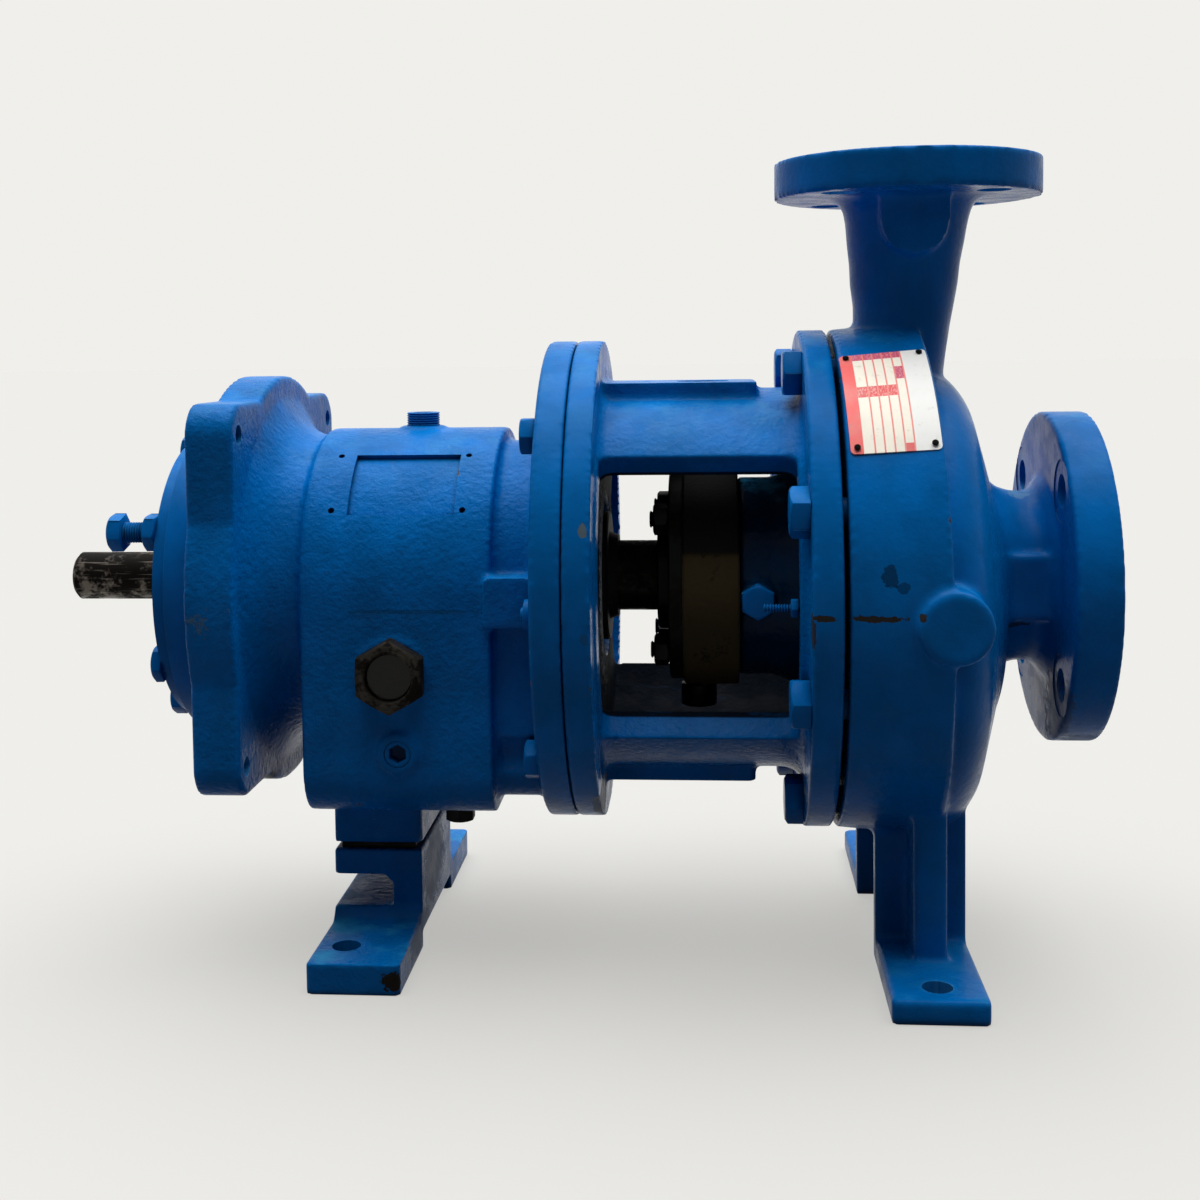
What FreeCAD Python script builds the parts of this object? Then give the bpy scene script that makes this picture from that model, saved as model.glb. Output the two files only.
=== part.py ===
import FreeCAD, Part
import math
import os
from types import SimpleNamespace

import Sketcher
from FreeCAD import Placement, Rotation, Vector

# End-suction centrifugal pump on its own bearing frame.
# X runs along the shaft from the drive end to the suction flange, Z is up.
# The origin is on the floor, under the crossing of the shaft axis and the
# centreline of the discharge nozzle, midway between the two casing feet.

# Driving sizes in millimetres; x values are places along the shaft
SIZES = {
    # standard centre heights and flange places
    "shaft_height": 209.55,
    "discharge_height": 241.3,
    "suction_face_x": 101.6,
    "foot_hole_distance": 317.5,
    "casing_foot_span": 247.65,
    "frame_foot_span": 184.15,
    "foot_hole_radius": 7.95,
    # suction flange and neck
    "suction_flange_radius": 95.25,
    "suction_flange_thick": 28.0,
    "suction_hole_circle": 76.2,
    "suction_bore": 38.1,
    "suction_neck_radius": 49.0,
    "flange_hole_radius": 9.525,
    "gauge_boss_half": 18.6,
    "gauge_boss_reach": 52.0,
    # discharge flange and neck
    "discharge_flange_radius": 76.2,
    "discharge_flange_thick": 21.5,
    "discharge_hole_circle": 60.325,
    "discharge_bore": 25.4,
    "discharge_neck_radius": 37.0,
    "nozzle_waist": 26.2,
    "nozzle_waist_deep": 33.0,
    "nozzle_waist_height": 147.0,
    "nozzle_waist_shift": 4.7,
    "nozzle_root_height": 104.0,
    "nozzle_wall": 9.0,
    # casing body
    "casing_face_x": -45.5,
    "band_draft": 3.7,
    "band_end_x": 6.0,
    "scroll_drop": 13.0,
    "scroll_side": 4.0,
    "dome_step": 13.5,
    "dome_curve": 26.0,
    "dome_turn_x": 30.5,
    "dome_fall": 17.3,
    "dome_nose_x": 48.0,
    "dome_nose_radius": 63.0,
    "casing_wall": 9.0,
    "wear_ring_radius": 104.0,
    "round_boss_radius": 18.8,
    "round_boss_reach": 151.5,
    "round_boss_x": 6.2,
    "round_boss_drop": 5.5,
    # casing feet
    "casing_foot_reach": 141.4,
    "casing_foot_width": 50.0,
    "casing_pad_thick": 13.0,
    "leg_plate_y": 60.0,
    "leg_plate_thick": 12.0,
    "leg_rib_reach": 91.0,
    "leg_rib_width": 17.8,
    "leg_rib_shift": 1.4,
    # back cover with the seal chamber
    "cover_flange_inset": 12.0,
    "cover_flange_thick": 12.0,
    "cover_lip": 6.0,
    "cover_nose_x": -22.0,
    "cover_gap": 0.5,
    "chamber_radius": 62.0,
    "chamber_bore": 44.0,
    "chamber_end_x": -99.0,
    "chamber_floor_x": -34.0,
    "hub_throat": 26.0,
    "chamber_plug_x": -89.3,
    "chamber_plug_drop": 4.5,
    "chamber_plug_flats": 16.0,
    # gland and seal
    "gland_radius": 64.0,
    "gland_thick": 32.0,
    "gland_bore": 27.0,
    "seat_radius": 32.0,
    "seat_thick": 10.0,
    "gland_pilot": 5.0,
    "gland_plate_radius": 61.0,
    "gland_plate_thick": 8.0,
    "gland_hub_radius": 32.0,
    "gland_hub_length": 7.0,
    "stud_circle": 53.0,
    "stud_radius": 5.0,
    "stud_nut_flats": 16.0,
    "stud_nut_thick": 8.5,
    "port_plug_radius": 10.5,
    "port_plug_drop": 77.5,
    "seal_head_radius": 34.0,
    "seal_head_length": 30.0,
    "seal_face_gap": 0.4,
    # frame adapter
    "adapter_left_x": -191.8,
    "adapter_left_radius": 139.6,
    "adapter_left_thick": 17.8,
    "adapter_left_bore": 70.0,
    "adapter_right_x": -48.0,
    "adapter_right_radius": 144.3,
    "adapter_right_thick": 16.2,
    "adapter_right_bore": 80.0,
    "adapter_tube_inset": 19.0,
    "adapter_tube_wall": 17.0,
    "window_half_angle": 42.0,
    "window_left_gap": 1.0,
    "window_right_gap": 4.0,
    "window_corner": 9.0,
    "adapter_pad_proud": 4.5,
    "adapter_pad_half": 34.0,
    "adapter_pad_length": 86.0,
    "adapter_slot_length": 30.0,
    "adapter_slot_width": 12.0,
    # bolts between casing, adapter and frame
    "casing_bolt_edge": 14.3,
    "casing_bolt_count": 8,
    "casing_bolt_radius": 7.9,
    "casing_bolt_flats": 24.0,
    "casing_bolt_head": 10.5,
    "casing_bolt_depth": 17.0,
    "frame_bolt_circle": 125.0,
    "frame_bolt_count": 4,
    "frame_bolt_radius": 6.3,
    "frame_bolt_flats": 19.0,
    "frame_bolt_head": 8.3,
    "frame_bolt_depth": 14.0,
    "bolt_clearance": 0.5,
    "cover_jack_radius": 2.3,
    "cover_jack_reach": 23.0,
    "cover_jack_grip": 6.0,
    "cover_jack_inset": 23.0,
    # bearing frame
    "frame_flange_thick": 16.7,
    "barrel_radius": 89.0,
    "barrel_left_x": -340.0,
    "barrel_right_x": -235.0,
    "sump_depth": 124.0,
    "sump_corner": 26.0,
    "neck_inset": 8.0,
    "frame_wall": 9.0,
    "flare_radius": 108.0,
    "motor_flange_right_x": -366.0,
    "motor_flange_thick": 30.0,
    "motor_flange_radius": 121.0,
    "motor_flange_half_wide": 113.0,
    "motor_flange_half_high": 108.0,
    "motor_flange_corner": 19.0,
    "motor_hole_half_wide": 99.0,
    "motor_hole_half_high": 91.0,
    "motor_hole_radius": 5.4,
    "name_recess_left_x": -316.0,
    "name_recess_length": 60.0,
    "name_recess_first": 31.5,
    "name_recess_sweep": 28.3,
    "name_recess_depth": 2.5,
    "side_boss_height": 28.0,
    "side_boss_reach": 93.0,
    "dowel_radius": 4.0,
    "dowel_left_reach": 8.0,
    "dowel_right_reach": 10.0,
    "dowel_angle": 93.6,
    "dowel_circle": 103.0,
    # frame foot and its boss
    "foot_left_x": -334.0,
    "foot_right_x": -282.6,
    "foot_boss_half": 50.0,
    "foot_boss_bottom": 148.6,
    "shim_thick": 4.0,
    "foot_top_thick": 14.7,
    "foot_web_thick": 17.0,
    "foot_bridge_top": 185.5,
    "foot_bridge_lift": 9.0,
    "foot_pad_thick": 16.6,
    "foot_pad_inner": 47.0,
    "foot_reach": 119.0,
    "foot_bolt_radius": 6.3,
    "foot_bolt_flats": 19.0,
    "foot_bolt_head": 8.3,
    # oil fittings on the bearing frame
    "sight_x": -289.7,
    "sight_drop": 41.6,
    "sight_flats": 36.0,
    "sight_thick": 11.0,
    "sight_window_radius": 13.0,
    "level_plug_x": -287.0,
    "level_plug_drop": 85.5,
    "level_plug_radius": 7.5,
    "level_boss_radius": 10.8,
    "level_socket_flats": 8.0,
    "fill_x": -286.0,
    "fill_radius": 10.0,
    "fill_stand": 9.5,
    "drain_x": -261.0,
    "drain_y": -40.0,
    "drain_flats": 15.5,
    "drain_drop": 137.0,
    # bearings
    "journal_radius": 22.5,
    "bearing_radius": 50.0,
    "race_thick": 9.0,
    "thrust_left_x": -402.0,
    "thrust_width": 39.7,
    "radial_left_x": -233.0,
    "radial_width": 25.0,
    "ball_radius": 8.2,
    "ball_count": 8,
    "ball_gap": 0.05,
    "running_gap": 0.05,
    # bearing housing with its covers
    "housing_face_x": -426.0,
    "housing_step_x": -417.0,
    "housing_face_radius": 82.0,
    "housing_flange_radius": 90.0,
    "housing_lift_gap": 1.0,
    "housing_spigot_radius": 57.15,
    "housing_spigot_end_x": -354.0,
    "ring_place_along": 12.0,
    "ring_groove": 3.2,
    "housing_lip_radius": 42.0,
    "end_cover_bore": 36.0,
    "oil_seal_radius": 30.0,
    "oil_seal_length": 9.0,
    "adjuster_circle": 75.5,
    "adjuster_count": 3,
    "adjuster_first_angle": 63.0,
    "adjuster_radius": 5.9,
    "adjuster_flats": 19.0,
    "adjuster_head": 8.0,
    "jack_out": 28.0,
    "jack_out_others": 19.0,
    "jam_nut_thick": 7.5,
    # rotating parts
    "drive_end_x": -501.0,
    "coupling_radius": 14.2875,
    "coupling_length": 75.0,
    "coupling_chamfer": 2.0,
    "keyway_width": 6.35,
    "keyway_depth": 3.5,
    "keyway_length": 34.0,
    "keyway_angle": 36.0,
    "seal_journal": 17.0,
    "shoulder_radius": 27.0,
    "sleeve_radius": 20.7,
    "sleeve_bore": 17.0,
    "sleeve_left_x": -186.0,
    "sleeve_right_x": -37.0,
    "locknut_radius": 32.5,
    "locknut_thick": 9.5,
    "lockwasher_thick": 1.5,
    "flinger_x": -179.0,
    "flinger_thick": 4.5,
    "flinger_radius": 42.0,
    "frame_seal_radius": 36.0,
    "frame_seal_length": 11.0,
    "impeller_tip_gap": 10.4,
    "impeller_back_x": -18.0,
    "shroud_thick": 5.0,
    "vane_outer_x": 4.0,
    "vane_inner_x": 13.2,
    "vane_clearance": 0.5,
    "vane_thick": 5.0,
    "vane_count": 5,
    "vane_inner_radius": 34.0,
    "vane_curve": 62.0,
    "hub_radius": 24.0,
    "hub_nose_inset": 0.6,
    # name plate on the casing band
    "plate_left_x": -44.0,
    "plate_width": 46.0,
    "plate_first": 27.0,
    "plate_sweep": 29.6,
    "plate_thick": 0.8,
    "rivet_radius": 1.7,
}

doc = FreeCAD.newDocument("CentrifugalPump")
sheet = doc.addObject("Spreadsheet::Sheet", "Sizes")


class Size:
    """A length with its present value and its formula in the sheet."""

    def __init__(self, value, formula):
        self.value = float(value)
        self.formula = formula

    def __add__(self, other):
        other = as_size(other)
        return Size(self.value + other.value, f"({self.formula} + {other.formula})")

    def __sub__(self, other):
        other = as_size(other)
        return Size(self.value - other.value, f"({self.formula} - {other.formula})")

    def __mul__(self, other):
        other = as_size(other)
        return Size(self.value * other.value, f"({self.formula} * {other.formula})")

    def __truediv__(self, other):
        other = as_size(other)
        return Size(self.value / other.value, f"({self.formula} / {other.formula})")

    def __radd__(self, other):
        return as_size(other) + self

    def __rsub__(self, other):
        return as_size(other) - self

    def __rmul__(self, other):
        return as_size(other) * self

    def __neg__(self):
        return Size(-self.value, f"(0 - {self.formula})")


def as_size(number):
    return number if isinstance(number, Size) else Size(number, f"{float(number):.6f}")


def sine(angle):
    angle = as_size(angle)
    return Size(math.sin(math.radians(angle.value)), f"sin({angle.formula})")


def cosine(angle):
    angle = as_size(angle)
    return Size(math.cos(math.radians(angle.value)), f"cos({angle.formula})")


def read_sheet():
    """Fill the sheet and hand back one Size for each alias."""
    for row, (alias, value) in enumerate(SIZES.items(), start=1):
        sheet.set(f"A{row}", alias)
        sheet.set(f"B{row}", str(value))
        sheet.setAlias(f"B{row}", alias)
    doc.recompute()
    return SimpleNamespace(**{name: Size(sheet.get(name), f"Sizes.{name}") for name in SIZES})


d = read_sheet()

ALONG_X = Rotation(Vector(0, 1, 0), 90)
ALONG_Y = Rotation(Vector(1, 0, 0), -90)
ALONG_Z = Rotation()


def bind(thing, **properties):
    """Tie properties of an object to formulas in the sheet."""
    for name, size in properties.items():
        thing.setExpression(name.replace("__", "."), as_size(size).formula)


def put(thing, x, y, z, rotation=ALONG_Z):
    """Place an object; z is counted from the shaft axis."""
    thing.Placement = Placement(Vector(0, 0, 0), rotation)
    bind(thing, Placement__Base__x=x, Placement__Base__y=y, Placement__Base__z=as_size(z) + d.shaft_height)
    return thing


def rod(label, x, y, z, length, radius, along=ALONG_X):
    """Round bar whose first end is at (x, y, z)."""
    bar = doc.addObject("Part::Cylinder", label)
    bind(bar, Radius=radius, Height=length)
    return put(bar, x, y, z, along)


def block(label, x, y, z, long, wide, high):
    """Box with its lowest corner at (x, y, z)."""
    box = doc.addObject("Part::Box", label)
    bind(box, Length=long, Width=wide, Height=high)
    return put(box, x, y, z)


def hexagon(label, x, y, z, flats, length, along=ALONG_X):
    """Hexagonal bar by its width across flats."""
    prism = doc.addObject("Part::Prism", label)
    prism.Polygon = 6
    bind(prism, Circumradius=as_size(flats) / (2 * math.cos(math.radians(30))), Height=length)
    return put(prism, x, y, z, along)


def fuse(label, pieces):
    joined = doc.addObject("Part::MultiFuse", label)
    joined.Shapes = pieces
    joined.Refine = True
    return joined


def group(label, pieces):
    """Separate solids that share one node."""
    bundle = doc.addObject("Part::Compound", label)
    bundle.Links = pieces
    return bundle


def cut(label, base, tools):
    result = doc.addObject("Part::Cut", label)
    result.Base = base
    result.Tool = tools[0] if len(tools) == 1 else fuse(label + "_tools", tools)
    return result


def common(label, base, tool):
    result = doc.addObject("Part::Common", label)
    result.Base = base
    result.Tool = tool
    return result


def rounded(label, base, radius, chosen):
    """Fillet the edges of base for which chosen(edge) is true."""
    doc.recompute()
    result = doc.addObject("Part::Fillet", label)
    result.Base = base
    size = as_size(radius).value
    result.Edges = [(i, size, size) for i, edge in enumerate(base.Shape.Edges, start=1) if chosen(edge)]
    return result


def arc_between(first, last, bend):
    """Arc of radius |bend|; a positive bend keeps its centre left of the way travelled."""
    way = last - first
    half = way.Length / 2
    radius = max(abs(bend), half)
    side = math.copysign(math.sqrt(radius * radius - half * half), bend)
    normal = Vector(-way.y, way.x, 0).normalize()
    centre = (first + last) / 2 + normal * side
    start, end = (first, last) if bend > 0 else (last, first)
    angles = [math.atan2(p.y - centre.y, p.x - centre.x) for p in (start, end)]
    if angles[1] <= angles[0]:
        angles[1] += 2 * math.pi
    return Part.ArcOfCircle(Part.Circle(centre, Vector(0, 0, 1), radius), *angles)


def draw(sketch, outline):
    """Closed outline of (across, up) corners; a third entry bends the way to the next corner."""
    corners = [Vector(as_size(c[0]).value, as_size(c[1]).value, 0) for c in outline]
    ends = []
    for i, corner in enumerate(outline):
        first, last = corners[i], corners[(i + 1) % len(corners)]
        if len(corner) > 2:
            bend = as_size(corner[2]).value
            index = sketch.addGeometry(arc_between(first, last, bend), False)
            ends.append((index, 1, 2) if bend > 0 else (index, 2, 1))
        else:
            index = sketch.addGeometry(Part.LineSegment(first, last), False)
            ends.append((index, 1, 2))
    for i, corner in enumerate(outline):
        index, start, _ = ends[i]
        before = ends[i - 1]
        sketch.addConstraint(Sketcher.Constraint("Coincident", before[0], before[2], index, start))
        for kind, size in (("DistanceX", corner[0]), ("DistanceY", corner[1])):
            size = as_size(size)
            number = sketch.addConstraint(Sketcher.Constraint(kind, -1, 1, index, start, size.value))
            sketch.setExpression(f"Constraints[{number}]", size.formula)
        if len(corner) > 2:
            bend = as_size(corner[2])
            size = bend if bend.value > 0 else -bend
            number = sketch.addConstraint(Sketcher.Constraint("Radius", index, size.value))
            sketch.setExpression(f"Constraints[{number}]", size.formula)


def new_sketch(body, plane, name):
    sketch = body.newObject("Sketcher::SketchObject", name)
    support = next(f for f in body.Origin.OriginFeatures if f.Role == plane)
    sketch.AttachmentSupport = [(support, "")]
    sketch.MapMode = "FlatFace"
    return sketch


def turned(label, outline, y=0, z=0):
    """Body turned about a line along X from (x, radius) corners."""
    body = doc.addObject("PartDesign::Body", label)
    sketch = new_sketch(body, "XZ_Plane", label + "_profile")
    draw(sketch, outline)
    spin = body.newObject("PartDesign::Revolution", label + "_turn")
    spin.Profile = sketch
    spin.ReferenceAxis = (sketch, ["H_Axis"])
    spin.Angle = 360
    return put(body, 0, y, z)


def padded(label, outline, x, length):
    """Body with a (y, z) outline, drawn out along X from x."""
    body = doc.addObject("PartDesign::Body", label)
    sketch = new_sketch(body, "YZ_Plane", label + "_outline")
    draw(sketch, outline)
    pad = body.newObject("PartDesign::Pad", label + "_pad")
    pad.Profile = sketch
    bind(pad, Length=length)
    return put(body, x, 0, 0)


def drill_ring(body, label, circle, count, first_angle, radius):
    """Ring of through holes along X in a turned body, patterned from one pocket."""
    sketch = new_sketch(body, "YZ_Plane", label + "_hole")
    y, z = ring_place(circle, first_angle)
    sketch.addGeometry(Part.Circle(Vector(y.value, z.value, 0), Vector(0, 0, 1), radius.value), False)
    for kind, size in (("DistanceX", y), ("DistanceY", z)):
        number = sketch.addConstraint(Sketcher.Constraint(kind, -1, 1, 0, 3, size.value))
        sketch.setExpression(f"Constraints[{number}]", size.formula)
    number = sketch.addConstraint(Sketcher.Constraint("Radius", 0, radius.value))
    sketch.setExpression(f"Constraints[{number}]", radius.formula)
    pocket = body.newObject("PartDesign::Pocket", label + "_pocket")
    pocket.Profile = sketch
    pocket.Type = "ThroughAll"
    pocket.Midplane = True
    pattern = body.newObject("PartDesign::PolarPattern", label + "_ring")
    pattern.Originals = [pocket]
    axis = next(f for f in body.Origin.OriginFeatures if f.Role == "X_Axis")
    pattern.Axis = (axis, [""])
    pattern.Angle = 360
    pattern.Occurrences = int(count.value)
    bind(pattern, Occurrences=count)
    body.Tip = pattern
    return body


def ring_place(circle, angle):
    """(y, z) at an angle from the top, turning towards the near side, which is -Y."""
    return -(circle * sine(angle)), circle * cosine(angle)


def ring_angles(count, first_angle):
    step = as_size(360) / count
    return [as_size(first_angle) + step * k for k in range(int(count.value))]


def rods_in_ring(label, circle, angles, x, length, radius):
    rods = []
    for k, angle in enumerate(angles, start=1):
        y, z = ring_place(circle, angle)
        rods.append(rod(f"{label}_{k}", x, y, z, length, radius))
    return rods


def hex_bolt(label, x, y, z, head, flats, length, radius, head_first=True):
    """Bolt along X: its head and shank meet at x, the head on the drive side."""
    parts = [
        hexagon(label + "_head", x - head, y, z, flats, head),
        rod(label + "_shank", x, y, z, length, radius),
    ]
    return fuse(label, parts)


def bolts_in_ring(label, circle, angles, x, head, flats, length, radius):
    bolts = []
    for k, angle in enumerate(angles, start=1):
        y, z = ring_place(circle, angle)
        bolts.append(hex_bolt(f"{label}_{k}", x, y, z, head, flats, length, radius))
    return group(label, bolts)


def sector(label, x, length, radius, first_angle, sweep):
    """Slice of a round bar from x on, with angles as in ring_place."""
    bar = doc.addObject("Part::Cylinder", label)
    bind(bar, Radius=radius, Height=length, Angle=sweep)
    last = as_size(first_angle) + sweep
    turn = Rotation(Vector(1, 0, 0), last.value) * Rotation(Vector(0, 1, 0), -90)
    return put(bar, as_size(x) + length, 0, 0, turn)


parts = []


def part(node, thing):
    """Register a finished piece under its node name."""
    thing.Label = node
    parts.append((node, thing))
    return thing


# Places worked out from the driving sizes
floor_z = -d.shaft_height
suction_back_x = d.suction_face_x - d.suction_flange_thick
discharge_back_z = d.discharge_height - d.discharge_flange_thick
cover_face_x = d.casing_face_x - d.cover_gap
cover_back_x = cover_face_x - d.cover_flange_thick
band_radius = d.adapter_right_radius
band_rim_radius = band_radius + d.band_draft
dome_radius = band_rim_radius - d.dome_step
dome_turn_radius = dome_radius - d.dome_fall
casing_bolt_circle = d.adapter_right_radius - d.casing_bolt_edge
cover_flange_radius = casing_bolt_circle - d.cover_flange_inset
adapter_tube_radius = casing_bolt_circle - d.adapter_tube_inset
cover_plug_radius = cover_flange_radius - d.cover_lip
impeller_radius = cover_plug_radius - d.impeller_tip_gap
adapter_left_end_x = d.adapter_left_x + d.adapter_left_thick
adapter_right_start_x = d.adapter_right_x - d.adapter_right_thick
frame_flange_left_x = d.adapter_left_x - d.frame_flange_thick
motor_flange_left_x = d.motor_flange_right_x - d.motor_flange_thick
gland_left_x = d.chamber_end_x - d.gland_thick
gland_plate_left_x = gland_left_x - d.gland_plate_thick
casing_bolt_angles = ring_angles(d.casing_bolt_count, as_size(180) / d.casing_bolt_count)
frame_bolt_angles = ring_angles(d.frame_bolt_count, as_size(180) / d.frame_bolt_count)
stud_angles = [45, 135, 225, 315]
jack_angles = ring_angles(d.adjuster_count, d.adjuster_first_angle)
dowel_angles = [d.dowel_angle, as_size(360) - d.dowel_angle]
clamp_angles = ring_angles(d.adjuster_count, d.adjuster_first_angle + as_size(180) / d.adjuster_count)
housing_seat_x = motor_flange_left_x - d.housing_lift_gap


def ellipse(label, x, y, z, half_x, half_y):
    """Flat ellipse across the nozzle, longer along Y."""
    curve = doc.addObject("Part::Ellipse", label)
    bind(curve, MajorRadius=half_y, MinorRadius=half_x)
    return put(curve, x, y, z, Rotation(Vector(0, 0, 1), 90))


def loft(label, sections):
    body = doc.addObject("Part::Loft", label)
    body.Sections = sections
    body.Solid = True
    body.Ruled = False
    return body


def nozzle(label, inset, top_radius, root_z, top_z):
    """Discharge neck from the scroll up to its flange, or the passage inside it."""
    shift = -d.nozzle_waist_shift
    return loft(label, [
        ellipse(label + "_root", shift, d.scroll_side, root_z, d.nozzle_waist - inset,
                d.nozzle_waist_deep + d.scroll_side - inset),
        ellipse(label + "_waist", shift, 0, d.nozzle_waist_height, d.nozzle_waist - inset,
                d.nozzle_waist_deep - inset),
        ellipse(label + "_top", 0, 0, top_z, top_radius, top_radius + 0.01),
    ])


def casing_leg(side):
    """One leg: flat pad, upright plate and outer rib; side is -1 near, 1 far."""
    name = "near" if side < 0 else "far"
    reach = d.casing_foot_reach
    inner = d.leg_plate_y - d.leg_plate_thick
    half = d.casing_foot_width / 2
    rib_left = d.leg_rib_shift - d.leg_rib_width / 2
    plate_top = d.shaft_height - d.suction_neck_radius * 2
    if side < 0:
        spans = (-reach, -d.leg_plate_y, -d.leg_rib_reach)
    else:
        spans = (inner, inner, inner)
    return [
        block(f"leg_pad_{name}", -half, spans[0], floor_z, d.casing_foot_width, reach - inner,
              d.casing_pad_thick),
        block(f"leg_plate_{name}", -half, spans[1], floor_z, d.casing_foot_width, d.leg_plate_thick,
              plate_top),
        block(f"leg_rib_{name}", rib_left, spans[2], floor_z, d.leg_rib_width, d.leg_rib_reach - inner,
              plate_top),
    ]


def build_casing():
    """Volute casing with its nozzles, bosses and feet."""
    band = turned("casing_band", [
        (d.casing_face_x, 0), (d.casing_face_x, band_radius),
        (d.band_end_x, band_rim_radius), (d.band_end_x, 0)])
    dome = turned("casing_dome", [
        (d.cover_nose_x, 0), (d.cover_nose_x, dome_radius - 2), (d.band_end_x, dome_radius, -d.dome_curve),
        (d.dome_turn_x, dome_turn_radius), (d.dome_nose_x, d.dome_nose_radius), (d.dome_nose_x, 0)],
        d.scroll_side, -d.scroll_drop)
    suction = turned("casing_suction", [
        (0, 0), (0, d.suction_neck_radius), (suction_back_x, d.suction_neck_radius),
        (suction_back_x, d.suction_flange_radius), (d.suction_face_x, d.suction_flange_radius),
        (d.suction_face_x, 0)])
    flange = rod("discharge_flange", 0, 0, discharge_back_z, d.discharge_flange_thick,
                 d.discharge_flange_radius, ALONG_Z)
    neck = nozzle("discharge_neck", as_size(0), d.discharge_neck_radius, d.nozzle_root_height,
                  discharge_back_z + 1)
    gauge_half = d.gauge_boss_half
    gauge_left = d.dome_nose_x - 2
    bosses = [
        rod("round_boss", d.round_boss_x, -d.round_boss_reach, -d.round_boss_drop,
            d.round_boss_reach - dome_radius + d.scroll_side * 4, d.round_boss_radius, ALONG_Y),
        block("suction_gauge_boss", gauge_left, -d.gauge_boss_reach, -gauge_half,
              suction_back_x - gauge_left, d.gauge_boss_reach, gauge_half * 2),
        rod("discharge_gauge_round", 0, -(d.discharge_neck_radius + 3), discharge_back_z - gauge_half,
            d.discharge_neck_radius, gauge_half + 0.4, ALONG_Y),
        block("discharge_gauge_flat", -(gauge_half + 0.4), -(d.discharge_neck_radius + 3),
              discharge_back_z - gauge_half, gauge_half * 2 + 0.8, d.discharge_neck_radius, gauge_half),
    ]
    legs = casing_leg(-1) + casing_leg(1)
    outside = fuse("casing_outside", [band, dome, suction, flange, neck] + bosses + legs)

    wall = d.casing_wall
    scroll = turned("casing_scroll", [
        (d.cover_nose_x, 0), (d.cover_nose_x, dome_radius - wall - 2),
        (d.band_end_x, dome_radius - wall - 2, -(d.dome_curve - wall + 2)),
        (d.dome_turn_x - wall * 0.8, dome_turn_radius - wall * 0.8),
        (d.dome_nose_x - wall, d.dome_nose_radius), (d.dome_nose_x - wall, 0)],
        d.scroll_side, -d.scroll_drop)
    face_gap = d.vane_clearance
    ring_outer_x = d.vane_outer_x + face_gap
    ring = turned("impeller_face_ring", [
        (d.vane_inner_x + face_gap, d.suction_bore), (ring_outer_x, d.wear_ring_radius),
        (ring_outer_x + wall, d.wear_ring_radius), (d.dome_nose_x - wall * 2,
                                                    d.wear_ring_radius - wall * 1.6),
        (d.dome_nose_x - 2, d.suction_neck_radius), (d.dome_nose_x - 2, d.suction_bore)])
    hollow = cut("casing_hollow", scroll, [ring])
    openings = [
        hollow,
        rod("cover_seat", d.casing_face_x - 1, 0, 0, d.cover_nose_x - d.casing_face_x + 1.5,
            cover_plug_radius + d.running_gap),
        rod("suction_passage", ring_outer_x, 0, 0, d.suction_face_x - ring_outer_x + 1, d.suction_bore),
        nozzle("discharge_passage", d.nozzle_wall, d.discharge_bore - 0.8, d.nozzle_root_height - wall,
               discharge_back_z),
        rod("discharge_mouth", 0, 0, discharge_back_z - 3, d.discharge_flange_thick + 4,
            d.discharge_bore, ALONG_Z),
    ]
    openings += rods_in_ring("casing_bolt_hole", casing_bolt_circle, casing_bolt_angles,
                             d.casing_face_x - 1, d.casing_bolt_depth + 1,
                             d.casing_bolt_radius + d.running_gap)
    openings += rods_in_ring("suction_hole", d.suction_hole_circle, [45, 135, 225, 315],
                             suction_back_x - 4, d.suction_flange_thick + 8, d.flange_hole_radius)
    for k, angle in enumerate([45, 135, 225, 315], start=1):
        openings.append(rod(f"discharge_hole_{k}", d.discharge_hole_circle * sine(angle),
                            d.discharge_hole_circle * cosine(angle), discharge_back_z - 4,
                            d.discharge_flange_thick + 8, d.flange_hole_radius, ALONG_Z))
    for side in (-1, 1):
        openings.append(rod(f"casing_foot_hole_{'near' if side < 0 else 'far'}", 0,
                            d.casing_foot_span / 2 * side, floor_z - 1, d.casing_pad_thick + 2,
                            d.foot_hole_radius, ALONG_Z))
    part("casing", cut("casing_body", outside, openings + rivet_holes))


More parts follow.
